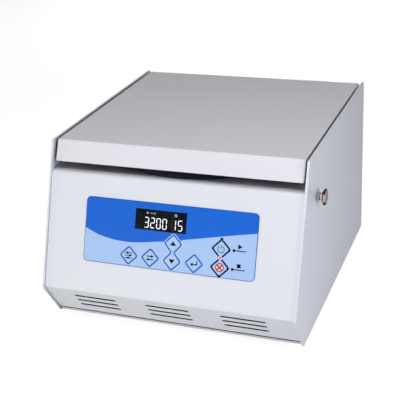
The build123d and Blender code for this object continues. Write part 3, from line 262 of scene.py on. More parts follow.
def socket_kind(value: object) -> str:
    """Find the kind of socket that holds a value.

    Args:
        value: The value, or the kind's own name.

    Returns:
        The socket's type name.
    """
    if isinstance(value, str):
        return "NodeSocket" + value
    if isinstance(value, (int, float)):
        return "NodeSocketInt" if isinstance(value, int) else "NodeSocketFloat"
    return "NodeSocketColor" if len(value) == 4 else "NodeSocketVector"


class Group(Graph):
    """A node group under way, with named inputs and outputs."""

    def __init__(self, name: str, takes: dict[str, object], kind: str = "ShaderNodeTree") -> None:
        """Start the group.

        Args:
            name: The group's name.
            takes: Each input's first value, or the kind of its socket.
            kind: The kind of tree.
        """
        super().__init__(bpy.data.node_groups.new(name, kind))
        for key, value in takes.items():
            made = self.tree.interface.new_socket(key, in_out="INPUT", socket_type=socket_kind(value))
            if not isinstance(value, str):
                made.default_value = value
        self.takes = self.tree.nodes.new("NodeGroupInput").outputs

    def give(self, results: dict[str, Socket]) -> Tree:
        """End the group.

        Args:
            results: What each output gives.

        Returns:
            The group's tree.
        """
        for key in results:
            kind = socket_kind(key if key in ("Color", "Geometry") else "Float")
            self.tree.interface.new_socket(key, in_out="OUTPUT", socket_type=kind)
        self.feed(self.tree.nodes.new("NodeGroupOutput"), results)
        return self.tree

    def gloss(self, noise: Socket) -> Socket:
        """Return a roughness that drifts between the group's two gloss inputs."""
        return self.span(noise, NOISE_LOW, NOISE_HIGH, self.takes["Gloss Low"], self.takes["Gloss High"])

    def cover(self, colour: str, *shares: Socket) -> Tree:
        """End a group that lays a second colour over its first, by the product of shares and amount."""
        mask = self.product(*shares, self.takes["Amount"], clamp=True)
        return self.give({"Color": self.mix(mask, self.takes["Color"], self.takes[colour])})

    def lines(self, place: Socket, detail: float, dark: float, light: float) -> Tree:
        """End a group of drawn lines.

        Args:
            place: The place, stretched along the lines.
            detail: How many finer layers the lines have.
            dark: How dark the darkest are.
            light: How light the lightest are.

        Returns:
            The group's tree.
        """
        noise = self.noise(place, 1.0, detail)
        shade = self.span(noise, NOISE_LOW, NOISE_HIGH, dark, light)
        return self.give({"Roughness": self.gloss(noise), "Height": noise, "Shade": shade})


class Effects:
    """The surface effects that finishes share, each built once as a shader node group."""

    @staticmethod
    @cache
    def grain() -> Tree:
        """Build the grain: a fine height, and a slow drift of tone and gloss.

        Returns:
            The group.
        """
        g = Group("Surface grain", {
            "Color": GREY, "Grain Scale": 900.0, "Drift Scale": 9.0, "Drift": 0.05,
            "Gloss Low": 0.35, "Gloss High": 0.5,
        })
        place = g.place()
        fine = g.noise(place, g.takes["Grain Scale"], detail=2.0)
        drift = g.noise(place, g.takes["Drift Scale"], detail=3.0)
        speck = g.sway(fine, g.product(g.takes["Drift"], 0.6))
        light = g.math("ADD", g.math("ADD", g.sway(drift, g.takes["Drift"]), speck), 1.0)
        both = g.math("ADD", g.product(drift, 0.6), g.product(fine, 0.4))
        colour = g.shaded(g.takes["Color"], light)
        return g.give({"Color": colour, "Roughness": g.gloss(both), "Height": fine})

    @staticmethod
    @cache
    def wear() -> Tree:
        """Build the edge wear and painted highlight: corners and folds are painted lighter, in broken
        patches.

        Returns:
            The group.
        """
        g = Group("Edge wear", {
            "Color": GREY, "Worn And Highlight Color": (0.9, 0.9, 0.9, 1.0), "Width": 0.001, "Amount": 0.5,
        })
        soft = g.add("ShaderNodeBevel", {"Radius": g.takes["Width"]}, samples=4).outputs["Normal"]
        bend = g.span(g.turned(soft), 0.99, 0.75, 0.0, 1.0)
        broken = g.span(g.noise(g.place(), 60.0, detail=4.0), 0.35, 0.65, 0.35, 1.0)
        return g.cover("Worn And Highlight Color", bend, broken)

    @staticmethod
    @cache
    def dust() -> Tree:
        """Build the dust: a thin veil on what faces up, thicker in slow patches.

        Returns:
            The group.
        """
        g = Group("Settled dust", {"Color": GREY, "Dust Color": (0.55, 0.53, 0.5, 1.0), "Amount": 0.15})
        normal = g.add("ShaderNodeNewGeometry").outputs["Normal"]
        lying = g.span(g.parts(normal)["Z"], 0.3, 1.0, 0.0, 1.0)
        cloud = g.noise(g.place(), 14.0, detail=6.0, roughness=0.6)
        return g.cover("Dust Color", lying, g.span(cloud, NOISE_LOW, 0.75, 0.2, 1.0))

    @staticmethod
    @cache
    def grime() -> Tree:
        """Build the painted shade: a darker colour deep in gaps and where parts meet, where shade falls.

        Returns:
            The group.
        """
        g = Group("Gap grime", {
            "Color": GREY, "Painted Shade Color": (0.08, 0.08, 0.1, 1.0), "Reach": 0.03, "Amount": 0.8,
        })
        open_share = g.add("ShaderNodeAmbientOcclusion", {"Distance": g.takes["Reach"]}, samples=12)
        deep = g.span(open_share.outputs["AO"], 0.05, 0.62, 1.0, 0.0)
        uneven = g.span(g.noise(g.place(), 45.0, detail=3.0), NOISE_LOW, NOISE_HIGH, 0.85, 1.0)
        return g.cover("Painted Shade Color", deep, uneven)

    @staticmethod
    @cache
    def spun() -> Tree:
        """Build the marks of spinning: fine lines round an upright axis.

        Returns:
            The group.
        """
        g = Group("Spun lines", {
            "Centre": (0.0, 0.0, 0.0), "Lines": 900.0, "Gloss Low": 0.2, "Gloss High": 0.35,
        })
        x, y, z = g.parts(g.vector("SUBTRACT", g.place(), g.takes["Centre"])[0])
        lines = g.takes["Lines"]
        along = g.product(g.math("ARCTAN2", y, x), 1.5)
        across = g.add("ShaderNodeCombineXYZ", {
            0: g.product(g.length(x, y), lines), 1: g.product(z, lines), 2: along,
        })
        return g.lines(across.outputs[0], detail=2.0, dark=0.9, light=1.05)

    @staticmethod
    @cache
    def brushed() -> Tree:
        """Build the marks of brushing: fine lines along one direction.

        Returns:
            The group.
        """
        g = Group("Brushed lines", {"Stretch": (20.0, 1500.0, 1500.0), "Gloss Low": 0.25, "Gloss High": 0.4})
        drawn = g.vector("MULTIPLY", g.place(), g.takes["Stretch"])[0]
        return g.lines(drawn, detail=3.0, dark=0.88, light=1.06)

    @staticmethod
    @cache
    def scratches() -> Tree:
        """Build sparse hairline scratches, as thin warped cell borders.

        Returns:
            The group.
        """
        g = Group("Hairline scratches", {"Scale": 40.0, "Amount": 0.5})
        place = g.place()
        bent = g.add("ShaderNodeTexNoise", {"Vector": place, "Scale": 6.0, "Detail": 1.0}).outputs["Color"]
        thin = g.span(g.borders(g.vector("ADD", place, bent)[0], g.takes["Scale"]), 0.0, 0.012, 1.0, 0.0)
        some = g.span(g.noise(place, 25.0, detail=1.0), 0.5, 0.62, 0.0, 1.0)
        return g.give({"Mask": g.product(thin, some, g.takes["Amount"])})

    @staticmethod
    @cache
    def cut() -> Tree:
        """Build the mask of a sheet's cut edges, where painted shade goes in slots and gaps: what stands
        square to the sheet, between two heights.

        Returns:
            The group.
        """
        g = Group("Cut edges", {"Sheet Normal": (0.0, 1.0, 0.0), "Low": 0.0, "High": 1.0, "Back": 0.0})
        square = g.span(g.math("ABSOLUTE", g.turned(g.takes["Sheet Normal"])), 0.3, 0.4, 1.0, 0.0)
        _, y, z = g.parts(g.place())
        above = g.math("GREATER_THAN", z, g.takes["Low"])
        below = g.math("LESS_THAN", z, g.takes["High"])
        front = g.math("LESS_THAN", y, g.takes["Back"])
        return g.give({"Mask": g.product(above, below, front, square)})


# ---------------------------------------------------------------- finishes


class Surface(Graph):
    """A material under way, round its Principled shader."""

    def __init__(self, name: str) -> None:
        """Start the material.

        Args:
            name: Its name.
        """
        self.material = bpy.data.materials.new(name)
        self.material.use_nodes = True
        super().__init__(self.material.node_tree)

    def look(self, values: dict) -> None:
        """Set the shader's inputs, each to a plain value or to a socket."""
        self.feed(self.tree.nodes["Principled BSDF"], values)

    def effect(self, group: Tree, values: dict) -> Sequence[Socket]:
        """Place a shared effect and return its outputs."""
        return self.add("ShaderNodeGroup", values, node_tree=group).outputs

    def grain(
        self, finish: Finish, fine: float, slow: float, drift: float, relief: Point | None = None
    ) -> Socket:
        """Give the surface its grain and its gloss.

        Args:
            finish: The finish, with its colour and gloss.
            fine: The scale of the grain.
            slow: The scale of the drift.
            drift: How far the tone drifts.
            relief: How strong the grain's relief is and how deep, if it has any.

        Returns:
            The drifting colour.
        """
        made = self.effect(Effects.grain(), {
            "Color": rgba(finish.colour), "Grain Scale": fine, "Drift Scale": slow, "Drift": drift,
            "Gloss Low": finish.gloss[0], "Gloss High": finish.gloss[1],
        })
        self.look({"Roughness": made["Roughness"]})
        if relief:
            self.relief(made["Height"], *relief)
        return made["Color"]

    def lined(self, finish: Finish, group: Tree, values: dict, relief: Point) -> Socket:
        """Give bare metal its drawn lines.

        Args:
            finish: The finish, with its colour and gloss.
            group: The effect that draws the lines.
            values: What that effect takes, besides its gloss.
            relief: How strong the lines' relief is and how deep.

        Returns:
            The shaded colour.
        """
        made = self.effect(group, {**values, "Gloss Low": finish.gloss[0], "Gloss High": finish.gloss[1]})
        self.look({"Roughness": made["Roughness"]})
        self.relief(made["Height"], *relief)
        return self.shaded(rgba(finish.colour), made["Shade"])

    def relief(self, height: Socket, strength: float, depth: float) -> None:
        """Raise a height as a bump, so many metres deep."""
        bump = self.add("ShaderNodeBump", {"Height": height, "Strength": strength, "Distance": depth})
        self.look({"Normal": bump.outputs["Normal"]})

    def worn_and_highlighted(self, colour: Socket, worn_and_highlighted: Triple, width: float, amount: float) -> Socket:
        """Return the colour with its edges turned to another as wear and painted highlight, so many metres
        wide and by some amount.
        """
        values = {"Color": colour, "Worn And Highlight Color": rgba(worn_and_highlighted), "Width": width, "Amount": amount}
        return self.effect(Effects.wear(), values)["Color"]

    def dusted(self, colour: Socket, dust: Triple, amount: float) -> Socket:
        """Return the colour with dust of another colour on what faces up."""
        values = {"Color": colour, "Dust Color": rgba(dust), "Amount": amount}
        return self.effect(Effects.dust(), values)["Color"]

    def scratched(self, colour: Socket, bare: Triple, scale: float, amount: float) -> Socket:
        """Return the colour with hairline scratches that show another."""
        mask = self.effect(Effects.scratches(), {"Scale": scale, "Amount": amount})["Mask"]
        return self.mix(mask, colour, rgba(bare))


@dataclass(frozen=True)
class Finish:
    """The base of every finish: its name, colour, range of roughness and shine, and how it is painted."""

    name: str
    colour: Triple = (0.8, 0.8, 0.8)
    gloss: Point = (0.3, 0.4)
    metallic: float = 0.0
    sheen: float = 0.5

    @cache
    def material(self) -> bpy.types.Material:
        """Make the finish's material, once.

        Returns:
            The material.
        """
        surface = Surface(self.name)
        colour = self.paint(surface)
        surface.look({"Base Color": colour, "Metallic": self.metallic, "Specular IOR Level": self.sheen})
        return surface.material

    def paint(self, s: Surface) -> Socket:
        """Add the finish's nodes to its surface and return the base colour."""
        raise NotImplementedError


@dataclass(frozen=True)
class PowderCoat(Finish):
    """White powder coat on steel: satin, with a fine orange peel, edges lighter with wear and painted
    highlight, and painted shade on its cut edges and deep in its gaps.
    """

    colour: Triple = (0.83, 0.845, 0.885)
    gloss: Point = (0.34, 0.44)
    sheen: float = 0.32
    # Cut edges between two heights are painted near black: painted shade in the slots and gaps.
    cut_low: float = 0.0
    cut_high: float = 0.0
    cut_back: float = -0.18
    cut_edge_shade_colour: Triple = (0.02, 0.02, 0.025)
    # Painted shade deep in gaps and where parts meet, found by ambient occlusion: its amount, reach and
    # colour.
    grime: float = 0.95
    painted_shade_reach: float = 0.022
    painted_shade_colour: Triple = (0.1, 0.1, 0.12)

    def paint(self, s: Surface) -> Socket:
        """Coat the surface, lighten its edges with wear and painted highlight, dust it, then paint shade into
        its gaps and onto its cut edges.

        Args:
            s: The surface.

        Returns:
            The base colour.
        """
        colour = s.grain(self, fine=520.0, slow=7.0, drift=0.025, relief=(0.35, 0.00006))
        # Edges lighter: wear and painted highlight.
        colour = s.worn_and_highlighted(colour, (0.9, 0.91, 0.94), width=0.0009, amount=0.55)
        colour = s.dusted(colour, (0.62, 0.61, 0.6), amount=0.05)
        # Painted shade: darker deep in gaps and where parts meet.
        grime = s.effect(Effects.grime(), {
            "Color": colour, "Painted Shade Color": rgba(self.painted_shade_colour),
            "Reach": self.painted_shade_reach, "Amount": self.grime,
        })
        # Painted shade on the cut edges of the slots and gaps.
        cut = s.effect(Effects.cut(), {
            "Sheet Normal": CHAMFER.out,
            "Low": self.cut_low, "High": self.cut_high, "Back": self.cut_back,
        })
        return s.mix(cut["Mask"], grime["Color"], rgba(self.cut_edge_shade_colour))


@dataclass(frozen=True)
class Steel(Finish):
    """Bare or plated steel with brushed lines along one direction."""

    metallic: float = 1.0
    stretch: Triple = (25.0, 1400.0, 1400.0)

    def paint(self, s: Surface) -> Socket:
        """Brush the surface, lighten its edges with wear and painted highlight, and scratch it.

        Args:
            s: The surface.

        Returns:
            The base colour.
        """
        colour = s.lined(self, Effects.brushed(), {"Stretch": self.stretch}, relief=(0.3, 0.00003))
        colour = s.worn_and_highlighted(colour, (0.78, 0.78, 0.8), width=0.0006, amount=0.5)
        return s.scratched(colour, (0.85, 0.85, 0.86), scale=60.0, amount=0.25)


@dataclass(frozen=True)
class SpunSteel(Finish):
    """Stainless steel with fine lines round the chamber's axis."""

    colour: Triple = (0.64, 0.64, 0.65)
    gloss: Point = (0.18, 0.3)
    metallic: float = 1.0

    def paint(self, s: Surface) -> Socket:
        """Spin the surface and dust it.

        Args:
            s: The surface.

        Returns:
            The base colour.
        """
        values = {"Centre": (0.0, CHAMBER_Y, 0.0), "Lines": 1100.0}
        colour = s.lined(self, Effects.spun(), values, relief=(0.25, 0.00003))
        return s.dusted(colour, (0.4, 0.39, 0.37), amount=0.12)


@dataclass(frozen=True)
class Chrome(Finish):
    """Bright plate: a near mirror with faint smears and hairlines."""

    gloss: Point = (0.04, 0.12)
    metallic: float = 1.0
    edge: Triple = (0.9, 0.9, 0.9)

    def paint(self, s: Surface) -> Socket:
        """Plate the surface, turn its edges with wear and painted highlight, and scratch it.

        Args:
            s: The surface.

        Returns:
            The base colour.
        """
        s.look({"Specular Tint": rgba(self.edge)})
        colour = s.grain(self, fine=260.0, slow=60.0, drift=0.06)
        colour = s.worn_and_highlighted(colour, (0.66, 0.6, 0.55), width=0.0003, amount=0.25)
        return s.scratched(colour, (0.6, 0.6, 0.6), scale=180.0, amount=0.35)


@dataclass(frozen=True)
class ReflectionPaintedChrome(Chrome):
    """Bright plate on a turned knob, with a painted brown reflection on its rim and painted dark reflections
    on its upper and lower sides and its low edge.
    """

    centre: Point = (-0.1133281, 0.2293)
    rim_reflection: Triple = (0.4, 0.25, 0.24)
    rim_reflection_span: Point = (0.0095, 0.0132)
    dark_reflection: Triple = (0.012, 0.008, 0.012)
    dark_side_span: Point = (0.005, 0.0088)
    face_x: float = 0.2244
    low_lean: Point = (-0.5, -0.87)
    low_span: Point = (0.0082, 0.0102)

    def paint(self, s: Surface) -> Socket:
        """Plate the surface, then paint a brown reflection on its rim and dark reflections on its upper and
        lower sides and its low edge.

        Args:
            s: The surface.

        Returns:
            The base colour.
        """
        s.look({"Specular Tint": rgba(self.edge)})
        colour = s.grain(self, fine=260.0, slow=90.0, drift=0.3)
        place = s.place()
        reflection_wobble = s.noise(place, 260.0, detail=2.0)
        x, y, z = s.parts(place)
        across, rise = s.math("SUBTRACT", y, self.centre[0]), s.math("SUBTRACT", z, self.centre[1])
        reach = s.math("ADD", s.length(across, rise), s.sway(reflection_wobble, 0.003))
        # Painted brown reflection on the rim.
        colour = s.mix(s.span(reach, *self.rim_reflection_span, 0.0, 1.0), colour, rgba(self.rim_reflection))
        # Painted dark reflections on the upper and lower sides, short of the face, and on the low edge.
        height = s.math("ADD", s.math("ABSOLUTE", rise), s.sway(reflection_wobble, 0.004))
        dark_sides = s.product(s.span(height, *self.dark_side_span, 0.0, 1.0), s.math("LESS_THAN", x, self.face_x))
        lean = s.math("ADD", s.product(across, self.low_lean[0]), s.product(rise, self.low_lean[1]))
        low = s.span(lean, *self.low_span, 0.0, 1.0)
        return s.mix(s.math("MAXIMUM", dark_sides, low), colour, rgba(self.dark_reflection))


@dataclass(frozen=True)
class CastAluminium(Finish):
    """Blasted or cast aluminium: a fine even grain, with bright edges from wear and painted highlight."""

    colour: Triple = (0.66, 0.67, 0.68)
    gloss: Point = (0.38, 0.52)
    metallic: float = 1.0
    grain_scale: float = 1500.0

    def paint(self, s: Surface) -> Socket:
        """Blast the surface, lighten its edges with wear and painted highlight, and dust it.

        Args:
            s: The surface.

        Returns:
            The base colour.
        """
        colour = s.grain(self, fine=self.grain_scale, slow=30.0, drift=0.12, relief=(0.4, 0.00008))
        colour = s.worn_and_highlighted(colour, (0.86, 0.86, 0.87), width=0.0008, amount=0.7)
        return s.dusted(colour, (0.45, 0.44, 0.42), amount=0.1)


@dataclass(frozen=True)
class Moulded(Finish):
    """Moulded rubber or plastic: one colour with spark texture, edges lighter with wear and painted
    highlight, and dust.
    """

    colour: Triple = (0.02, 0.02, 0.02)
    gloss: Point = (0.6, 0.8)
    sheen: float = 0.4
    rubbed_and_highlight: Triple = (0.08, 0.08, 0.085)
    grain_scale: float = 1100.0
    grain_depth: float = 0.00008
    dust: float = 0.12

    def paint(self, s: Surface) -> Socket:
        """Mould the surface, lighten its edges with wear and painted highlight, and dust it.

        Args:
            s: The surface.

        Returns:
            The base colour.
        """
        relief = (0.45, self.grain_depth)
        colour = s.grain(self, fine=self.grain_scale, slow=25.0, drift=0.25, relief=relief)
        colour = s.worn_and_highlighted(colour, self.rubbed_and_highlight, width=0.0006, amount=0.5)
        return s.dusted(colour, (0.3, 0.29, 0.28), amount=self.dust)


@dataclass(frozen=True)
class Laminations(Finish):
    """A stack of varnished iron sheets, seen as close bands up the Z axis."""

    colour: Triple = (0.1, 0.095, 0.09)
    gloss: Point = (0.45, 0.65)
    metallic: float = 0.6
    band: Triple = (0.2, 0.19, 0.18)

    def paint(self, s: Surface) -> Socket:
        """Band the surface.

        Args:
            s: The surface.

        Returns:
            The base colour.
        """
        values = {"Vector": s.place(), "Scale": 600.0, "Distortion": 0.4}
        bands = s.add("ShaderNodeTexWave", values, bands_direction="Z").outputs["Fac"]
        s.relief(bands, 0.5, 0.0002)
        return s.mix(bands, s.grain(self, fine=400.0, slow=40.0, drift=0.2), rgba(self.band))


@dataclass(frozen=True)
class Film(Finish):
    """Printed polyester film, or ink on it: even colour under a very fine matte emboss."""

    gloss: Point = (0.3, 0.38)
    sheen: float = 0.2
    drift: float = 0.05

    def paint(self, s: Surface) -> Socket:
        """Print the surface."""
        return s.grain(self, fine=2600.0, slow=12.0, drift=self.drift, relief=(0.3, 0.00002))


@dataclass(frozen=True)
class DarkWindow(Finish):
    """The display's window: near black, glossy, with faint smears."""

    colour: Triple = (0.006, 0.008, 0.012)
    gloss: Point = (0.06, 0.16)

    def paint(self, s: Surface) -> Socket:
        """Glaze the surface."""
        s.look({"Coat Weight": 0.3, "Coat Roughness": 0.05})
        return s.grain(self, fine=90.0, slow=35.0, drift=0.5)


@dataclass(frozen=True)
class Glow(Finish):
    """A lit segment: pale, and shining by itself with a slight unevenness."""

    colour: Triple = (0.9, 0.93, 0.96)
    strength: float = 0.45

    def paint(self, s: Surface) -> Socket:
        """Light the surface.

        Args:
            s: The surface.

        Returns:
            The base colour.
        """
        colour = s.grain(self, fine=900.0, slow=80.0, drift=0.15)
        s.look({"Emission Color": colour, "Emission Strength": self.strength})
        return colour


@dataclass(frozen=True)
class LampLens(Finish):
    """The keypad's two lenses: the lower one is lit red, the upper one is dark."""

    colour: Triple = (0.8, 0.06, 0.03)
    gloss: Point = (0.12, 0.2)
    split: Point = (0.169, 0.171)
    dark: Triple = (0.02, 0.018, 0.02)
    shine: Triple = (1.0, 0.1, 0.05)
    strength: float = 0.6

    def paint(self, s: Surface) -> Socket:
        """Light the lower lens and leave the upper one dark.

        Args:
            s: The surface.

        Returns:
            The base colour.
        """
        lower = s.span(s.parts(s.place())["Z"], *self.split, 1.0, 0.0)
        shine = s.mix(lower, rgba((0.0, 0.0, 0.0)), rgba(self.shine))
        s.look({"Emission Color": shine, "Emission Strength": self.strength})
        return s.mix(lower, rgba(self.dark), s.grain(self, fine=1500.0, slow=400.0, drift=0.2))


@dataclass(frozen=True)
class CircuitBoard(Finish):
    """Green solder mask with copper tracks showing through."""

    colour: Triple = (0.02, 0.16, 0.06)
    gloss: Point = (0.3, 0.45)
    track: Triple = (0.06, 0.3, 0.12)

    def paint(self, s: Surface) -> Socket:
        """Lay the tracks under the mask.

        Args:
            s: The surface.

        Returns:
            The base colour.
        """
        track = s.span(s.borders(s.place(), 140.0), 0.05, 0.08, 1.0, 0.0)
        s.relief(track, 0.4, 0.00008)
        return s.mix(track, s.grain(self, fine=700.0, slow=40.0, drift=0.25), rgba(self.track))


# Stronger painted shade, for the vented front and the deck under the lid.
GAP_PAINTED_SHADE = {"grime": 0.96, "painted_shade_reach": 0.031, "painted_shade_colour": (0.02, 0.02, 0.035)}
POWDER = PowderCoat("white_powder_coat")
# Painted shade on the slots' cut edges and deep in the gaps of the vented front.
VENT_POWDER = PowderCoat("vented_powder_coat", cut_low=0.02, cut_high=0.0735, **GAP_PAINTED_SHADE)
# A darker copy of the white coat: painted shade on the base plate's lip, with painted shade on the cut edge
# above it.
SHADED_BASE_POWDER = PowderCoat("base_powder_coat", colour=(0.74, 0.73, 0.78), cut_low=0.0201, cut_high=0.0238)
# Painted shade on the deck in the gap under the lid.
DECK_POWDER = PowderCoat("deck_powder_coat", **GAP_PAINTED_SHADE)
LID_POWDER = PowderCoat("lid_powder_coat", colour=(0.845, 0.835, 0.88))
BOWL_STEEL = SpunSteel("spun_stainless")
PAN_STEEL = Steel("brushed_stainless", (0.42, 0.42, 0.43), gloss=(0.3, 0.44))
ZINC = Steel("zinc_plate", (0.6, 0.61, 0.63), stretch=(500.0, 700.0, 600.0), gloss=(0.3, 0.45))
GUARD_STEEL = Steel("guard_steel", (0.3, 0.3, 0.31), stretch=(500.0, 500.0, 30.0), gloss=(0.4, 0.6))
GROUND_STEEL = Steel("ground_steel", (0.66, 0.66, 0.67), stretch=(300.0, 300.0, 2600.0), gloss=(0.14, 0.26))
CHROME = Chrome("bright_chrome", (0.62, 0.6, 0.61))
# Pink-tinted plate with painted reflections on the knob's rim and sides.
KNOB_CHROME = ReflectionPaintedChrome("knob_chrome", (0.8, 0.7, 0.66), gloss=(0.06, 0.16), edge=(0.2, 0.16, 0.15))
# Near-black plate on the sleeve: painted shade between the thread's bright crests.
THREAD_SHADE_STEEL = Chrome("thread_steel", (0.045, 0.04, 0.045), gloss=(0.2, 0.35), edge=(0.08, 0.08, 0.09))
SLEEVE_CHROME = Chrome("sleeve_chrome", (0.5, 0.48, 0.52), gloss=(0.06, 0.16), edge=(0.6, 0.6, 0.62))
NICKEL = Chrome("nickel_plate", (0.66, 0.62, 0.55), gloss=(0.15, 0.3))
ALUMINIUM = CastAluminium("blasted_aluminium")
DARK_ALUMINIUM = CastAluminium("dark_cast_aluminium", (0.3, 0.31, 0.32), grain_scale=700.0, gloss=(0.45, 0.6))
RUBBER = Moulded(
    "black_rubber", (0.007, 0.005, 0.014), rubbed_and_highlight=(0.02, 0.018, 0.03),
    gloss=(0.5, 0.68), dust=0.01, sheen=0.1,
)
# Near-black foam: the vent filter mats and the strip behind the base gap, dark to stand in for the shade
# behind the openings.
FILTER_AND_SHADE_FOAM = Moulded(
    "filter_foam", (0.008, 0.008, 0.009), rubbed_and_highlight=(0.02, 0.02, 0.02), grain_scale=700.0,
    grain_depth=0.0006, gloss=(0.8, 0.95), dust=0.0, sheen=0.1,
)
FOOT_RUBBER = Moulded("foot_rubber", rubbed_and_highlight=(0.07, 0.07, 0.07))
PLASTIC = Moulded("black_plastic", (0.022, 0.022, 0.024), gloss=(0.38, 0.52))
IRON = Laminations("motor_laminations")
DEEP_BLUE = Film("deep_blue_film", (0.012, 0.15, 0.73), sheen=0.07)
PALE_BLUE = Film("pale_blue_film", (0.43, 0.63, 0.97), drift=0.03)
KEY_BLUE = Film("key_film", (0.45, 0.65, 0.975), gloss=(0.26, 0.34), drift=0.03)
HALO_INK = Film("pale_halo_ink", (0.68, 0.81, 0.97))
LINE_INK = Film("blue_line_ink", (0.005, 0.135, 0.56), sheen=0.05)
NAVY_INK = Film("navy_line_ink", (0.005, 0.004, 0.075), sheen=0.05)
# A dark line round the film's edge: a painted shadow of its raised edge.
EDGE_SHADOW_INK = Film("border_ink", (0.01, 0.06, 0.26), sheen=0.05)
BLACK_INK = Film("black_ink", (0.004, 0.004, 0.008), sheen=0.05)
GREEN_INK = Film("green_ink", (0.05, 0.27, 0.16))
RED_INK = Film("red_ink", (0.5, 0.018, 0.028))
WHITE_INK = Film("white_ink", (0.8, 0.8, 0.8))
GLASS = DarkWindow("display_window_black")
LIT = Glow("lit_segment")
UNLIT = Film("unlit_segment", (0.014, 0.016, 0.022), gloss=(0.2, 0.3))
ICON = Glow("lit_icon", (0.55, 0.58, 0.62), strength=0.12)
LENS = LampLens("lamp_lens")
BOARD = CircuitBoard("circuit_board")


# ---------------------------------------------------------------- meshes

TINY = 1e-9
WELD = 1e-7
FULL_TURN = 2 * math.pi


def link_object(name: str, data: bpy.types.ID) -> Piece:
    """Make an object at the origin and put it in the scene.

    Args:
        name: Its name.
        data: Its mesh, curve, lamp or camera.

    Returns:
        The object.
    """
    piece = bpy.data.objects.new(name, data)
    bpy.context.scene.collection.objects.link(piece)
    return piece


def evaluated_mesh(source: Piece) -> bpy.types.Mesh:
    """Make a plain mesh of what an object shows.

    Args:
        source: The object, which is removed.

    Returns:
        The mesh.
    """
    bpy.context.view_layer.update()
    mesh = bpy.data.meshes.new_from_object(source.evaluated_get(bpy.context.evaluated_depsgraph_get()))
    bpy.data.objects.remove(source)
    return mesh


def mesh_piece(name: str, points: Iterable[Vector], faces: Iterable[Sequence[int]] = ()) -> Piece:
    """Make an object at the origin from points and faces.

    Args:
        name: The piece's name.
        points: Its points, in metres.
        faces: Point numbers of each face.

    Returns:
        The new object.
    """
    mesh = bpy.data.meshes.new(name)
    mesh.from_pydata([tuple(p) for p in points], [], [tuple(f) for f in faces])
    mesh.validate()
    return link_object(name, mesh)


def point_outwards(piece: Piece) -> None:
    """Merge a closed mesh's doubles and turn its faces outwards.

    Args:
        piece: The object to mend.
    """
    shape = bmesh.new()
    shape.from_mesh(piece.data)
    bmesh.ops.remove_doubles(shape, verts=shape.verts, dist=WELD)
    bmesh.ops.recalc_face_normals(shape, faces=shape.faces)
    shape.to_mesh(piece.data)
    shape.free()


def smooth_by_angle(piece: Piece, degrees: float = 35.0) -> None:
    """Shade a piece smooth, with sharp edges where its faces meet at more than an angle.

    Args:
        piece: The object to shade.
        degrees: The angle.
    """
    piece.data.shade_smooth()
    shape = bmesh.new()
    shape.from_mesh(piece.data)
    for edge in shape.edges:
        edge.smooth = len(edge.link_faces) == 2 and edge.calc_face_angle(0.0) < math.radians(degrees)
    shape.to_mesh(piece.data)
    shape.free()


def finish_piece(piece: Piece, finish: Finish, body: Body | str) -> None:
    """Give a piece its material and its body, and log its face count.

    Args:
        piece: The object.
        finish: Its finish.
        body: The body that it rides on.
    """
    piece.data.materials.clear()
    piece.data.materials.append(finish.material())
    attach(piece, body.value if isinstance(body, Body) else body)
    LOG.info("%s: %d faces", piece.name, len(piece.data.polygons))


def strip_faces(low: Sequence[object], high: Sequence[object]) -> list[tuple]:
    """Return the four-cornered faces that join two closed rings of as many points."""
    count = len(low)
    return [(low[i], low[(i + 1) % count], high[(i + 1) % count], high[i]) for i in range(count)]


def lathe(name: str, profile: Sequence[Point], origin: Vector, axis: Vector) -> Piece:
    """Turn a side profile round an axis.

    Args:
        name: The piece's name.
        profile: Pairs of distance along the axis and radius, in metres.
        origin: The axis's start.
        axis: Its direction, one metre long.

    Returns:
        The turned piece, closed where the profile meets the axis.
    """
    steps = 96
    side = axis.orthogonal().normalized()
    other = axis.cross(side)
    points: list[Vector] = []
    rings: list[list[int]] = []
    for distance, radius in profile:
        centre = origin + axis * distance
        start = len(points)
        if radius < TINY:
            rings.append([start] * steps)
            points.append(centre)
            continue
        rings.append(list(range(start, start + steps)))
        angles = [FULL_TURN * i / steps for i in range(steps)]
        points.extend(centre + (side * math.cos(a) + other * math.sin(a)) * radius for a in angles)
    quads = [quad for low, high in zip(rings, rings[1:]) for quad in strip_faces(low, high)]
    faces = [list(dict.fromkeys(quad)) for quad in quads]
    piece = mesh_piece(name, points, [face for face in faces if len(face) > 2])
    point_outwards(piece)
    return piece


def arc(centre: Point, radius: float, start: float, end: float, steps: int) -> Loop:
    """Return steps + 1 points along an arc, from a start angle to an end angle in degrees."""
    angles = [math.radians(start + (end - start) * i / steps) for i in range(steps + 1)]
    return [(centre[0] + radius * math.cos(a), centre[1] + radius * math.sin(a)) for a in angles]


def disc(centre: Point, radius: float, steps: int = 40) -> Loop:
    """Return a full circle's points."""
    return arc(centre, radius, 0.0, 360.0, steps)[:-1]


def ring(centre: Point, outer: float, inner: float, steps: int = 40) -> list[Loop]:
    """Return a ring's two loops."""
    return [disc(centre, outer, steps), disc(centre, inner, steps)]


def rectangle(left: float, right: float, low: float, high: float) -> Loop:
    """Return a rectangle's corners."""
    return [(left, low), (right, low), (right, high), (left, high)]


def rounded(corners: Sequence[Triple]) -> Loop:
    """Round each corner of a closed outline.

    Args:
        corners: Each corner's x, y and radius.

    Returns:
        The rounded outline.
    """
    steps, shortest_side = 8, 0.49
    outline: Loop = []
    for i, (x, y, radius) in enumerate(corners):
        corner = Vector((x, y))
        before = Vector(corners[i - 1][:2]) - corner
        after = Vector(corners[(i + 1) % len(corners)][:2]) - corner
        most = shortest_side * min(before.length, after.length)
        reach = min(radius / math.tan(before.angle(after) / 2), most)
        start = corner + before.normalized() * reach
        end = corner + after.normalized() * reach
        for n in range(steps + 1):
            t = n / steps
            spot = start * (1 - t) ** 2 + corner * 2 * t * (1 - t) + end * t**2
            outline.append((spot.x, spot.y))
    return outline


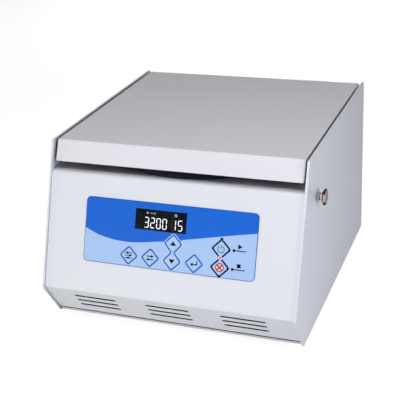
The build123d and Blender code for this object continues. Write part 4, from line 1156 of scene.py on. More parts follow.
def offset_outline(outline: Loop, amount: float) -> Loop:
    """Move a closed outline sideways, outwards where the amount is positive.

    Args:
        outline: The closed outline.
        amount: How far.

    Returns:
        The moved outline.
    """
    following = outline[1:] + outline[:1]
    area = sum(x * next_y - next_x * y for (x, y), (next_x, next_y) in zip(outline, following))
    sign = 1.0 if area > 0 else -1.0
    sharpest = 0.5
    moved: Loop = []
    for last, this, coming in zip(outline[-1:] + outline[:-1], outline, following):
        here = Vector(this)
        back, ahead = here - Vector(last), Vector(coming) - here
        if back.length < TINY or ahead.length < TINY:
            continue
        first = Vector((back.y, -back.x)).normalized() * sign
        second = Vector((ahead.y, -ahead.x)).normalized() * sign
        middle = (first + second).normalized()
        spot = here + middle * amount / max(middle.dot(first), sharpest)
        moved.append((spot.x, spot.y))
    return moved


def stroke(outline: Loop, width: float) -> list[Loop]:
    """Return the two loops of a closed line of a given width."""
    return [offset_outline(outline, width / 2), offset_outline(outline, -width / 2)]


def bar(start: Point, end: Point, width: float) -> Loop:
    """Return the outline of a straight line with round ends.

    Args:
        start: Its first point.
        end: Its last point.
        width: Its width.

    Returns:
        The outline.
    """
    steps = 6
    angle = math.degrees(math.atan2(end[1] - start[1], end[0] - start[0]))
    first = arc(start, width / 2, angle + 90, angle + 270, steps)
    return first + arc(end, width / 2, angle - 90, angle + 90, steps)


def print_shapes(name: str, shapes: Shapes, low: float, high: float, face: Face = FRONT) -> Piece:
    """Raise flat shapes into a thin printed layer.

    Args:
        name: The piece's name.
        shapes: Each shape's loops: its outline first, then its holes.
        low: The layer's underside, in millimetres off the face.
        high: Its top.
        face: The face that the shapes lie on.

    Returns:
        The layer, as a closed mesh.
    """
    points: list[Vector] = []
    faces: list[Sequence[int]] = []
    for loops in shapes:
        start = len(points)
        count = sum(len(loop) for loop in loops)
        for lift in (low, high):
            points.extend(face.point(x, y, lift) for loop in loops for x, y in loop)
        for triangle in tessellate_polygon([[Vector((x, y, 0.0)) for x, y in loop] for loop in loops]):
            faces.append([start + count + i for i in triangle])
            faces.append([start + i for i in reversed(triangle)])
        for loop in loops:
            under = range(start, start + len(loop))
            faces.extend(strip_faces(under, [i + count for i in under]))
            start += len(loop)
    piece = mesh_piece(name, points, faces)
    point_outwards(piece)
    return piece


# ---------------------------------------------------------------- repeated shapes


class Repeats:
    """Geometry trees that set a shape many times, or sweep one along a path, each built once."""

    @staticmethod
    def close(g: Group, geometry: Socket) -> Tree:
        """End a tree: make its geometry real and give it its material.

        Args:
            g: The tree's group.
            geometry: What it has made.

        Returns:
            The tree.
        """
        real = g.add("GeometryNodeRealizeInstances", {"Geometry": geometry}).outputs["Geometry"]
        values = {"Geometry": real, "Material": g.takes["Finish"]}
        return g.give({"Geometry": g.add("GeometryNodeSetMaterial", values).outputs["Geometry"]})

    @staticmethod
    @cache
    def spread() -> Tree:
        """Build the tree that sets an item on each point, turned and sized by the point's attributes.

        Returns:
            The tree.
        """
        takes = {"Geometry": "Geometry", "Item": "Object", "Finish": "Material"}
        g = Group("Spread items", takes, "GeometryNodeTree")
        item = g.add("GeometryNodeObjectInfo", {"Object": g.takes["Item"]}, transform_space="ORIGINAL")
        turn, size = (
            g.add("GeometryNodeInputNamedAttribute", {"Name": key}, data_type="FLOAT_VECTOR")
            for key in ("turn", "size")
        )
        rotation = g.add("FunctionNodeEulerToRotation", {"Euler": turn.outputs["Attribute"]})
        items = g.add("GeometryNodeInstanceOnPoints", {
            "Points": g.takes["Geometry"], "Instance": item.outputs["Geometry"],
            "Rotation": rotation.outputs["Rotation"], "Scale": size.outputs["Attribute"],
        })
        return Repeats.close(g, items.outputs["Instances"])

    @staticmethod
    def circle(g: Group, steps: object, radius: Socket) -> Socket:
        """Return a round path."""
        values = {"Resolution": steps, "Radius": radius}
        return g.add("GeometryNodeCurvePrimitiveCircle", values).outputs["Curve"]

    @staticmethod
    @cache
    def rings() -> Tree:
        """Build the tree that stacks round rings, such as the crests of a thread.

        Returns:
            The tree.
        """
        g = Group("Stack rings", {
            "Geometry": "Geometry", "Count": 4, "Spacing": 0.001, "Radius": 0.006, "Crest": 0.0004,
            "Finish": "Material",
        }, "GeometryNodeTree")
        step = g.add("ShaderNodeCombineXYZ", {2: g.takes["Spacing"]})
        line = g.add("GeometryNodeMeshLine", {"Count": g.takes["Count"], "Offset": step.outputs[0]})
        path, section = Repeats.circle(g, 72, g.takes["Radius"]), Repeats.circle(g, 10, g.takes["Crest"])
        crest = g.add("GeometryNodeCurveToMesh", {"Curve": path, "Profile Curve": section})
        values = {"Points": line.outputs["Mesh"], "Instance": crest.outputs["Mesh"]}
        return Repeats.close(g, g.add("GeometryNodeInstanceOnPoints", values).outputs["Instances"])

    @staticmethod
    @cache
    def sweep() -> Tree:
        """Build the tree that sweeps a closed section round a circle, as a seal is moulded.

        Returns:
            The tree.
        """
        g = Group("Sweep section", {
            "Geometry": "Geometry", "Section": "Object", "Radius": 0.16, "Steps": 240, "Finish": "Material",
        }, "GeometryNodeTree")
        path = Repeats.circle(g, g.takes["Steps"], g.takes["Radius"])
        section = g.add("GeometryNodeObjectInfo", {"Object": g.takes["Section"]}, transform_space="ORIGINAL")
        values = {"Curve": path, "Profile Curve": section.outputs["Geometry"]}
        return Repeats.close(g, g.add("GeometryNodeCurveToMesh", values).outputs["Mesh"])


def grow(name: str, tree: Tree, values: dict[str, object], carrier: Piece | None = None) -> Piece:
    """Run a geometry tree and keep the result as a plain mesh.

    Args:
        name: The new piece's name.
        tree: The tree.
        values: What each named input takes.
        carrier: The object whose points the tree works on, if it needs any. It is removed.

    Returns:
        The grown piece, at the origin.
    """
    carrier = carrier or mesh_piece(name + "_carrier", [Vector()])
    modifier = carrier.modifiers.new("grow", "NODES")
    modifier.node_group = tree
    for item in tree.interface.items_tree:
        if item.item_type == "SOCKET" and item.in_out == "INPUT" and item.name in values:
            modifier[item.identifier] = values[item.name]
    mesh = evaluated_mesh(carrier)
    mesh.name = name
    return link_object(name, mesh)


@dataclass(frozen=True)
class Spot:
    """One place of a repeated item: where it stands, how it is turned and how large it is."""

    place: Vector
    turn: Triple
    size: Triple = (1.0, 1.0, 1.0)


def spread(name: str, spots: Sequence[Spot], item: Piece, finish: Finish) -> Piece:
    """Set an item on each spot and join the result.

    Args:
        name: The new piece's name.
        spots: The places.
        item: The repeated item, which is removed.
        finish: The finish of all of them.

    Returns:
        The joined piece.
    """
    carrier = mesh_piece(name + "_spots", [s.place for s in spots])
    for key in ("turn", "size"):
        layer = carrier.data.attributes.new(key, "FLOAT_VECTOR", "POINT")
        layer.data.foreach_set("vector", [v for s in spots for v in getattr(s, key)])
    piece = grow(name, Repeats.spread(), {"Item": item, "Finish": finish.material()}, carrier)
    bpy.data.objects.remove(item)
    return piece


def facing(direction: Vector, spin: float) -> Triple:
    """Return the turn that spins an item by some degrees and points its Z axis along a direction."""
    turn = direction.to_track_quat("Z", "Y").to_matrix() @ Matrix.Rotation(math.radians(spin), 3, "Z")
    return tuple(turn.to_euler())


@dataclass(frozen=True)
class Screw:
    """A cross-head screw's head: a low turned cap, its seat at the origin and its top up."""

    radius: float
    height: float
    dome: float
    steps: int = 24

    def head(self) -> Piece:
        """Make the head.

        Returns:
            The head.
        """
        shape = bmesh.new()
        r, h = self.radius, self.height
        crown = h + 0.7 * self.dome
        profile = ((0.0, r), (0.45 * h, r), (0.8 * h, 0.97 * r), (h, 0.86 * r), (crown, 0.62 * r))
        rings = [
            [shape.verts.new((x, y, rise)) for x, y in disc((0.0, 0.0), reach, self.steps)]
            for rise, reach in profile
        ]
        arm, half = 0.5 * r, 0.11 * r
        cross = [
            (arm, -half), (arm, half), (half, half), (half, arm), (-half, arm), (-half, half),
            (-arm, half), (-arm, -half), (-half, -half), (-half, -arm), (half, -arm), (half, -half),
        ]
        taper, floor_z = 0.92, 0.35 * h
        brim = [shape.verts.new((x, y, h + self.dome)) for x, y in cross]
        floor = [shape.verts.new((taper * x, taper * y, floor_z)) for x, y in cross]
        for low, high in (*zip(rings, rings[1:]), (brim, floor)):
            for quad in strip_faces(low, high):
                shape.faces.new(quad)
        shape.faces.new(list(reversed(rings[0])))
        shape.faces.new(floor)
        joining = [e for loop in (rings[-1], brim) for e in shape.edges if all(v in loop for v in e.verts)]
        bmesh.ops.bridge_loops(shape, edges=joining)
        bmesh.ops.recalc_face_normals(shape, faces=shape.faces)
        mesh = bpy.data.meshes.new("screw_head")
        shape.to_mesh(mesh)
        shape.free()
        return link_object("screw_head", mesh)

    def drive(self, name: str, spots: Sequence[Spot], body: Body) -> None:
        """Drive zinc screws in.

        Args:
            name: The name of the joined heads.
            spots: Where they sit.
            body: The body that they ride on.
        """
        piece = spread(name, spots, self.head(), ZINC)
        smooth_by_angle(piece)
        finish_piece(piece, ZINC, body)


@dataclass
class Assembly:
    """The base of every sub-assembly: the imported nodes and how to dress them."""

    nodes: dict[str, Piece]

    def dress(self, finish: Finish, *names: str) -> None:
        """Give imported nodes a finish.

        Args:
            finish: The finish.
            *names: The nodes' names.
        """
        for name in names:
            node = self.nodes[name]
            node.data.materials.clear()
            node.data.materials.append(finish.material())
            LOG.info("%s: %s", name, finish.name)


# ---------------------------------------------------------------- casing


@dataclass
class Casing(Assembly):
    """The folded sheets, their screws and the feet."""

    rear_face_y: float = 0.2354884
    rear_screw: Screw = Screw(0.0038, 0.0016, 0.0006)
    rear_screw_spacing: float = 0.09
    rear_screw_count: int = 5
    rear_screw_low: float = 0.0225
    rear_screw_drop: float = 0.0085
    vent_spacing: float = 123.3
    mat_half_width: float = 41.0
    mat_span: Point = (24.0, 67.0)
    mat_layer: Point = (-4.2, -1.55)
    gap_shade_half_width: float = 204.0
    gap_shade_span: Point = (5.2, 14.0)
    gap_shade_layer: Point = (-5.2, -2.1)

    def build(self) -> None:
        """Dress the sheets and set the screws."""
        self.dress(POWDER, "left_cheek", "right_cheek", "rear_panel")
        self.dress(DECK_POWDER, "deck_plate")
        self.dress(VENT_POWDER, "front_panel")
        self.dress(SHADED_BASE_POWDER, "base_plate")
        self.dress(FOOT_RUBBER, "rubber_feet")
        self.dress(ZINC, "casing_screws", "foot_screws")
        self.rear_screws()
        self.vent_mats()

    def vent_mats(self) -> None:
        """Lay a near-black filter mat behind each group of slots, dark to stand in for the shade inside, and
        a near-black strip behind the lower gap as painted shade.
        """
        mat, gap_shade = self.mat_half_width, self.gap_shade_half_width
        middles = (-self.vent_spacing, 0.0, self.vent_spacing)
        mats = [[rectangle(x - mat, x + mat, *self.mat_span)] for x in middles]
        strip = [[rectangle(-gap_shade, gap_shade, *self.gap_shade_span)]]
        for name, shapes, layer in (
            ("vent_filter_mats", mats, self.mat_layer), ("base_gap_foam", strip, self.gap_shade_layer),
        ):
            piece = print_shapes(name, shapes, *layer, CHAMFER)
            finish_piece(piece, FILTER_AND_SHADE_FOAM, Body.CASING)

    def rear_screws(self) -> None:
        """Set a cross-head screw over each plain screw of the back."""
        middle = (self.rear_screw_count - 1) / 2
        self.rear_screw.drive("rear_screw_heads", [
            Spot(
                Vector(((i - middle) * self.rear_screw_spacing, self.rear_face_y, z)),
                facing(BACK, 17.0 * i + 400.0 * z),
            )
            for i in range(self.rear_screw_count)
            for z in (self.rear_screw_low, deck_top() - self.rear_screw_drop)
        ], Body.CASING)


# ---------------------------------------------------------------- chamber and drive


@dataclass
class Chamber(Assembly):
    """The bowl, its seal, and what stands round and under it.

    The seal's section is given as radius and height. The lip's heights are from the gasket's top, and the
    others from the deck.
    """

    seal_foot: tuple[Point, ...] = ((0.1660, 0.0), (0.1685, 0.0), (0.1685, 0.0032))
    seal_lip: tuple[Point, ...] = (
        (0.1580, -0.0006), (0.1570, 0.0), (0.1510, 0.0), (0.1508, -0.0005), (0.1510, -0.0017),
    )
    seal_inside: tuple[Point, ...] = ((0.1600, 0.0035), (0.1630, 0.0012), (0.1660, 0.0012))
    seal_steps: int = 240
    seal_sharp: float = 50.0

    def build(self) -> None:
        """Dress the chamber and mould its seal."""
        self.dress(BOWL_STEEL, "chamber_bowl")
        self.dress(RUBBER, "chamber_gasket", "motor_dampers", "shaft_boot")
        self.dress(GUARD_STEEL, "guard_ring")
        self.seal()

    def seal(self) -> None:
        """Sweep the seal's section round the chamber."""
        foot, top = deck_top(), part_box("chamber_gasket")[1].z
        parts = ((self.seal_foot, foot), (self.seal_lip, top), (self.seal_inside, foot))
        outline = [(reach, level + z) for part, level in parts for reach, z in part]
        radius = outline[0][0]
        curve = bpy.data.curves.new("seal_section", "CURVE")
        curve.dimensions = "2D"
        spline = curve.splines.new("POLY")
        spline.points.add(len(outline) - 1)
        for point, (reach, z) in zip(spline.points, outline):
            point.co = (reach - radius, -z, 0.0, 1.0)
        spline.use_cyclic_u = True
        section = link_object("seal_section", curve)
        piece = grow("chamber_seal", Repeats.sweep(), {
            "Section": section, "Radius": radius, "Steps": self.seal_steps, "Finish": RUBBER.material(),
        })
        bpy.data.objects.remove(section)
        piece.data.transform(Matrix.Translation((0.0, CHAMBER_Y, 0.0)))
        point_outwards(piece)
        smooth_by_angle(piece, self.seal_sharp)
        finish_piece(piece, RUBBER, Body.CASING)
        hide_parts("chamber_gasket")


@dataclass
class Drivetrain(Assembly):
    """The motor under the chamber and the spindle through its floor."""

    def build(self) -> None:
        """Dress the motor's pieces."""
        self.dress(ZINC, "motor_plate")
        self.dress(DARK_ALUMINIUM, "motor_housing", "motor_end_cap", "motor_drive")
        self.dress(IRON, "motor_stator")
        self.dress(GROUND_STEEL, "spindle_bearings", "drive_spindle")


@dataclass
class Rotor(Assembly):
    """The yoke, its nut and the two swinging carriers."""

    mark_height: float = 0.0145
    mark_reach: float = 0.0235
    mark_half_depth: float = 0.00008
    mark_weight: float = 0.00035

    def build(self) -> None:
        """Dress the rotor and number its places."""
        self.dress(ALUMINIUM, "rotor_yoke", "plate_carrier_front", "plate_carrier_rear")
        self.dress(CHROME, "rotor_nut", "carrier_trunnions_front", "carrier_trunnions_rear")
        self.dress(RUBBER, "carrier_pad_front", "carrier_pad_rear")
        self.number("1", -1.0)
        self.number("2", 1.0)

    def number(self, digit: str, side: float) -> None:
        """Put a plain number on the hub beside one carrier.

        Args:
            digit: The number.
            side: -1 for the front and 1 for the rear.
        """
        text = bpy.data.curves.new("place_number", "FONT")
        text.body = digit
        text.size = self.mark_height
        text.align_x = text.align_y = "CENTER"
        text.extrude = self.mark_half_depth
        text.offset = self.mark_weight
        mesh = evaluated_mesh(link_object("place_number", text))
        place = Matrix.Translation((0.0, CHAMBER_Y + side * self.mark_reach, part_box("rotor_yoke")[1].z))
        mesh.transform(place @ Matrix.Rotation(0.0 if side < 0 else math.pi, 4, "Z"))
        piece = link_object("rotor_number_" + digit, mesh)
        point_outwards(piece)
        finish_piece(piece, BLACK_INK, Body.ROTOR)


# ---------------------------------------------------------------- lid, hinges and lock


@dataclass
class Lid(Assembly):
    """The lid's shell, its inner pan and what is fixed to it."""

    pan_screw: Screw = Screw(0.0036, 0.001, 0.0005)
    pan_screw_xs: Triple = (-0.170, 0.0, 0.170)
    pan_screw_ys: Point = (-0.134, 0.183)

    def build(self) -> None:
        """Dress the lid and set the screws that hold its pan."""
        self.dress(LID_POWDER, "lid_shell")
        self.dress(PAN_STEEL, "lid_liner")
        self.dress(ZINC, "lid_striker", "lid_hinge_leaves")
        self.dress(RUBBER, "lid_bumpers")
        self.pan_screw.drive("lid_pan_screws", [
            Spot(Vector((x, y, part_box("lid_liner")[0].z)), facing(-UP, 900.0 * x + 200.0 * y))
            for x in self.pan_screw_xs for y in self.pan_screw_ys
        ], Body.LID)


@dataclass
class Hinges(Assembly):
    """The two rear hinges, with four screws in each bracket's base."""

    hinge_xs: Point = (-0.12, 0.12)
    hinge_y: float = 0.2139884
    base_sheet: float = 0.002
    screw: Screw = Screw(0.0026, 0.0012, 0.0004)
    screw_reach: Point = (0.0185, 0.008)

    def build(self) -> None:
        """Dress the hinges and set their screws."""
        self.dress(ZINC, "hinge_brackets")
        self.dress(GROUND_STEEL, "hinge_pins")
        across, along = self.screw_reach
        self.screw.drive("hinge_screws", [
            Spot(
                Vector((x + i * across, self.hinge_y + j * along, deck_top() + self.base_sheet)),
                facing(UP, 31.0 * i + 17.0 * j),
            )
            for x in self.hinge_xs for i in (-1, 1) for j in (-1, 1)
        ], Body.CASING)


@dataclass
class LidLock(Assembly):
    """The spring plunger on the right-hand cheek: threaded sleeve, rod and mushroom knob."""

    axis_y: float = -0.1133281
    axis_z: float = 0.2293
    sleeve_start_x: float = 0.2101
    sleeve_radius: float = 0.00625
    crest_count: int = 3
    crest_radius: float = 0.00065
    crest_inset: float = 0.0008
    crest_sink: float = 0.00015
    knob_height: float = 0.0065
    knob_radius: float = 0.0125
    knob_sharp: float = 50.0
    neck_play: float = 0.0007
    neck_lip: float = 0.0008
    pocket: float = 0.0045

    def build(self) -> None:
        """Dress the lock and turn its knob."""
        # The sleeve is painted near black: painted shade between the thread's crests.
        self.dress(THREAD_SHADE_STEEL, "lock_sleeve")
        self.dress(KNOB_CHROME, "lock_rod", "lock_knob")
        self.dress(PLASTIC, "lid_switch")
        self.thread()
        self.knob()

    def thread(self) -> None:
        """Stack the crests of the sleeve's thread."""
        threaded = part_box("lock_sleeve")[1].x - self.sleeve_start_x - 2 * self.crest_inset
        piece = grow("sleeve_thread", Repeats.rings(), {
            "Count": self.crest_count, "Spacing": threaded / (self.crest_count - 1),
            "Radius": self.sleeve_radius - self.crest_sink, "Crest": self.crest_radius,
            "Finish": SLEEVE_CHROME.material(),
        })
        place = Matrix.Translation((self.sleeve_start_x + self.crest_inset, self.axis_y, self.axis_z))
        piece.data.transform(place @ Matrix.Rotation(math.pi / 2, 4, "Y"))
        point_outwards(piece)
        piece.data.shade_smooth()
        finish_piece(piece, SLEEVE_CHROME, Body.CASING)

    def knob(self) -> None:
        """Turn the knob: a thin neck, a flared underside, a rounded rim and a low dome."""
        h, r = self.knob_height, self.knob_radius
        neck = self.sleeve_radius + self.neck_play
        lip = neck + self.neck_lip
        flare, flare_end, flare_power = r - neck - 0.0015, 0.46, 2.2
        crown, crown_radius, crown_steps = 0.88, r - 0.0009, 12
        profile = [(0.0, neck), (0.0, lip)]
        for t in (0.1, 0.2, 0.28, 0.34, 0.4, flare_end):
            profile.append((h * t, lip + flare * (t / flare_end) ** flare_power))
        for t, inset in ((0.56, 0.00012), (0.66, 0.0), (0.76, 0.0001), (0.84, 0.0005)):
            profile.append((h * t, r - inset))
        for i in range(crown_steps + 1):
            angle = math.pi / 2 * i / crown_steps
            profile.append((h * (crown + (1.0 - crown) * math.sin(angle)), crown_radius * math.cos(angle)))
        profile += [(self.pocket, 0.0), (self.pocket, neck), (0.0, neck)]
        origin = Vector((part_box("lock_knob")[0].x, self.axis_y, self.axis_z))
        piece = lathe("lock_knob_turned", profile, origin, RIGHT)
        smooth_by_angle(piece, self.knob_sharp)
        finish_piece(piece, KNOB_CHROME, Body.PLUNGER)
        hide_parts("lock_knob")


# ---------------------------------------------------------------- keypad


def diamond(centre: Point, half: float, corner: float) -> Loop:
    """Return a square standing on its corner, with rounded corners."""
    turns = ((0.0, -half), (half, 0.0), (0.0, half), (-half, 0.0))
    return rounded([(centre[0] + dx, centre[1] + dy, corner) for dx, dy in turns])


@dataclass
class Keypad(Assembly):
    """The printed film, its seven keys, the display and the two lamps, in millimetres up the front."""

    half_width: float = 141.0
    low: float = 52.0
    high: float = 154.0
    corner: float = 7.0
    key_half: float = 11.4
    key_corner: float = 2.5
    key_gap: float = 0.35
    outline_half: float = 14.0
    outline_corner: float = 2.6
    outline_neck: float = 2.4
    outline_width: float = 2.3
    halo: Point = (2.2, 0.2)
    open_width: float = 3.0
    open_turn: float = 2.4
    open_gap: float = 2.9
    edge_shadow_inset: float = 0.4
    edge_shadow_width: float = 0.75
    lamp_hole: float = 1.95
    lamp_opening: float = 1.9
    lamp_rings: Point = (2.7, 3.1)
    pointer_width: float = 1.5
    pointer_dot: float = 2.2
    stop_ground: float = 6.4
    ground_top: float = 0.01
    halo_top: float = 0.04
    line_top: float = 0.05
    ring_top: float = 0.06
    keys: dict[str, Point] = field(default_factory=lambda: {
        "key_set": (-63.5, 68.7), "key_mode": (-27.7, 68.7), "key_up": (8.7, 94.5), "key_down": (8.2, 67.4),
        "key_enter": (44.3, 68.2), "key_start": (85.8, 95.4), "key_stop": (85.5, 67.3),
    })
    lamps: tuple[Point, Point] = ((85.7, 110.0), (85.3, 81.8))
    pointers: tuple[tuple[Point, float], ...] = (((105.8, 95.3), 124.4), ((105.5, 67.0), 124.5))
    go_sign: tuple[Point, ...] = ((112.0, 97.6), (118.8, 101.5), (112.0, 105.4))
    halt_sign: tuple[float, ...] = (112.2, 118.2, 69.8, 75.8)
    boundary: tuple[Point, ...] = (
        (-141.0, 105.0), (-132.0, 101.0), (-118.7, 95.8), (-105.0, 92.7), (-91.8, 90.4), (-78.0, 89.3),
        (-65.6, 89.1), (-54.0, 89.8), (-43.8, 90.9), (-29.0, 93.0), (-14.8, 95.4), (4.0, 98.4),
        (21.8, 101.6), (52.0, 107.4), (83.7, 113.7), (112.0, 119.0), (141.0, 124.2),
    )
    digit_y: float = 122.6
    digits: tuple[tuple[float, str], ...] = (
        (-37.6, "3"), (-27.7, "2"), (-17.8, "0"), (-7.9, "0"), (7.0, "1"), (17.6, "5"),
    )
    segment_span: Point = (6.1, 15.2)
    segment_width: float = 1.3
    segment_gap: float = 0.5
    icon_y: float = 137.4
    clock_x: float = 9.6

    def build(self) -> None:
        """Dress the keypad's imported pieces, then print its film and its keys."""
        self.dress(DEEP_BLUE, "keypad_overlay")
        self.dress(PLASTIC, "keypad_backplate", "display_module")
        self.dress(GLASS, "display_window")
        self.dress(LENS, "indicator_lenses")
        self.dress(BOARD, "control_board")
        self.dress(KEY_BLUE, *self.keys)
        self.film_fields()
        self.film_outlines()
        self.film_marks()
        self.key_signs()
        self.readout()
        self.icons()

    @staticmethod
    def printed(name: str, shapes: Shapes, ink: Finish, top: float = INK_TOP, key: str = "") -> None:
        """Print shapes on the film, or on a key.

        Args:
            name: The piece's name.
            shapes: The shapes' loops.
            ink: The ink.
            top: How far the ink stands up, in millimetres.
            key: The key, where it isn't the film.
        """
        base = KEY_TOP if key else FILM_TOP
        piece = print_shapes(name, shapes, base - INK_ROOT, base + top)
        finish_piece(piece, ink, key + "_body" if key else Body.CASING)

    def hourglass(self) -> Loop:
        """Join the outlines round the up and down keys.

        Returns:
            The joined outline.
        """
        (ux, uy), (dx, dy) = self.keys["key_up"], self.keys["key_down"]
        mx, my = (ux + dx) / 2, (uy + dy) / 2
        half, neck = self.outline_half, self.outline_neck
        places = (
            (dx, dy - half), (dx + half, dy), (mx + neck, my), (ux + half, uy),
            (ux, uy + half), (ux - half, uy), (mx - neck, my), (dx - half, dy),
        )
        return rounded([(x, y, self.outline_corner) for x, y in places])

    def lower_corners(self, inset: float = 0.0) -> Loop:
        """Return the film's two rounded lower corners, from left to right, so far inside its edge."""
        w, y, c = self.half_width - inset, self.low + inset, self.corner
        return arc((c - w, y + c), c, 180.0, 270.0, 10) + arc((w - c, y + c), c, 270.0, 360.0, 10)

    def boundary_height(self, x: float) -> float:
        """Find the height of the pale field's upper edge.

        Args:
            x: The place across the film.

        Returns:
            The height.
        """
        for (x0, y0), (x1, y1) in zip(self.boundary, self.boundary[1:]):
            if x0 <= x <= x1:
                return y0 + (y1 - y0) * (x - x0) / (x1 - x0)
        return self.boundary[-1][1]

    def film_fields(self) -> None:
        """Print the pale field below the boundary, and the pale window round the up and down keys."""
        opening = self.key_half + self.key_gap
        around = {key: diamond(place, opening, self.key_corner) for key, place in self.keys.items()}
        window = self.hourglass()
        inside = [around.pop(key) for key in ("key_up", "key_down")]
        lamp = disc(self.lamps[1], self.lamp_opening, 24)
        self.printed("film_pale_field", [[self.notched(window), *around.values(), lamp]], PALE_BLUE)
        self.printed("film_key_window", [[window, *inside]], PALE_BLUE)

    def notched(self, window: Loop) -> Loop:
        """Return the pale field's outline, with the lower part of the window cut out of its upper edge.

        Args:
            window: The outline round the up and down keys.

        Returns:
            The outline.
        """
        slack = 0.01
        sunk = [y < self.boundary_height(x) - slack for x, y in window]
        start = next(i for i, low in enumerate(sunk) if low and not sunk[i - 1])
        turned = window[start:] + window[:start]
        notch = [p for p, low in zip(turned, sunk[start:] + sunk[:start]) if low][::-1]
        right, left = notch[0][0], notch[-1][0]
        edge = self.boundary[::-1]
        before, after = [p for p in edge if p[0] >= right], [p for p in edge if p[0] <= left]
        return [*self.lower_corners(), *before, *notch, *after]

    def film_outlines(self) -> None:
        """Print the outlines round the keys, and the lower lamp's ring."""
        window = self.hourglass()
        self.printed("film_halo", [[offset_outline(window, by) for by in self.halo]], HALO_INK, self.halo_top)
        outlines = [window]
        for key in ("key_set", "key_mode", "key_enter"):
            outlines.append(diamond(self.keys[key], self.outline_half, self.outline_corner))
        lines = [stroke(outline, self.outline_width) for outline in outlines]
        self.printed("film_blue_lines", lines, LINE_INK, self.line_top)
        lamp = ring(self.lamps[1], self.lamp_rings[1], self.lamp_hole, 28)
        self.printed("film_lamp_ring", [lamp], HALO_INK, self.ring_top)

    def film_marks(self) -> None:
        """Print the open outlines, the pointers, the upper lamp's ring, a painted shadow line round the
        film's edge and the two signs.
        """
        marks = self.open_diamond(self.keys["key_start"], self.open_gap, self.open_gap)
        marks += self.open_diamond(self.keys["key_stop"], self.open_gap, 0.0)
        for (x, y), tip in self.pointers:
            marks += [[bar((x, y), (tip, y), self.pointer_width)], [disc((x, y), self.pointer_dot, 24)]]
        marks.append(ring(self.lamps[0], self.lamp_rings[0], self.lamp_hole, 28))
        self.printed("film_navy_lines", marks, NAVY_INK, self.line_top)
        # Painted shadow line round the film's edge.
        w, y, c = self.half_width - self.edge_shadow_inset, self.high - self.edge_shadow_inset, self.corner
        edge = self.lower_corners(self.edge_shadow_inset)
        edge += arc((w - c, y - c), c, 0.0, 90.0, 10) + arc((c - w, y - c), c, 90.0, 180.0, 10)
        self.printed("film_border", [stroke(edge, self.edge_shadow_width)], EDGE_SHADOW_INK, self.halo_top)
        signs = [[list(self.go_sign)], [rectangle(*self.halt_sign)]]
        self.printed("film_signs", signs, BLACK_INK, self.line_top)

    def open_diamond(self, centre: Point, upper_gap: float, lower_gap: float) -> Shapes:
        """Return a thick diamond outline that can stop short of its top and bottom corners, for a lamp.

        Args:
            centre: Its centre.
            upper_gap: How far from the top corner the line stops.
            lower_gap: How far from the bottom corner.

        Returns:
            The outline, as bars.
        """
        x, y = centre
        half = self.outline_half
        top, low, turn = (length / math.sqrt(2) for length in (upper_gap, lower_gap, self.open_turn))
        shapes: Shapes = []
        for side in (-1.0, 1.0):
            path = [
                (x + side * top, y + half - top), (x + side * (half - turn), y + turn),
                (x + side * (half - 0.35 * turn), y), (x + side * (half - turn), y - turn),
                (x + side * low, y - half + low),
            ]
            shapes += [[bar(first, second, self.open_width)] for first, second in zip(path, path[1:])]
        return shapes

    def key_signs(self) -> None:
        """Print each key's sign on the key itself, the stop key's on a pale ground."""
        for key, shapes in self.signs().items():
            x, y = self.keys["key_" + key]
            if key == "stop":
                ground = [[disc((x, y), self.stop_ground)]]
                self.printed("sign_stop_ground", ground, WHITE_INK, self.ground_top, "key_stop")
            moved = [[[(x + dx, y + dy) for dx, dy in loop] for loop in shape] for shape in shapes]
            ink = {"start": GREEN_INK, "stop": RED_INK}.get(key, BLACK_INK)
            self.printed("sign_" + key, moved, ink, key="key_" + key)

    @staticmethod
    def signs() -> dict[str, Shapes]:
        """Draw the keys' signs.

        Returns:
            Each sign's shapes, laid out round its key's centre.
        """
        sliders, swap = [], []
        for y, knob in ((3.9, -2.0), (0.0, 2.4), (-3.9, -0.6)):
            sliders += [[bar((-5.6, y), (5.6, y), 1.3)], [disc((knob, y), 1.8, 20)]]
        for side in (-1.0, 1.0):
            y = side * 2.5
            swap.append([bar((-side * 5.2, y), (side * 2.6, y), 1.5)])
            swap.append([[(side * 2.0, y - 2.4), (side * 6.2, y), (side * 2.0, y + 2.4)]])
        open_ring = arc((0.0, -0.6), 5.65, 118.0, 422.0, 40) + arc((0.0, -0.6), 4.15, 422.0, 118.0, 40)
        arm = 4.6 / math.sqrt(2)
        cross = [[bar((-arm, -rise), (arm, rise), 2.3)] for rise in (arm, -arm)]
        return {
            "up": [[[(-5.0, -2.8), (5.0, -2.8), (0.0, 4.0)]]],
            "down": [[[(-5.0, 3.2), (0.0, -3.6), (5.0, 3.2)]]],
            "set": sliders,
            "mode": swap,
            "enter": [
                [bar((4.8, 3.8), (4.8, -1.2), 1.7)], [bar((4.8, -1.2), (-2.4, -1.2), 1.7)],
                [[(-1.8, -4.4), (-6.2, -1.2), (-1.8, 2.0)]],
            ],
            "start": [[open_ring], [bar((0.0, 0.2), (0.0, 5.4), 1.4)]],
            "stop": [ring((0.0, 0.0), 6.9, 5.1), *cross],
        }

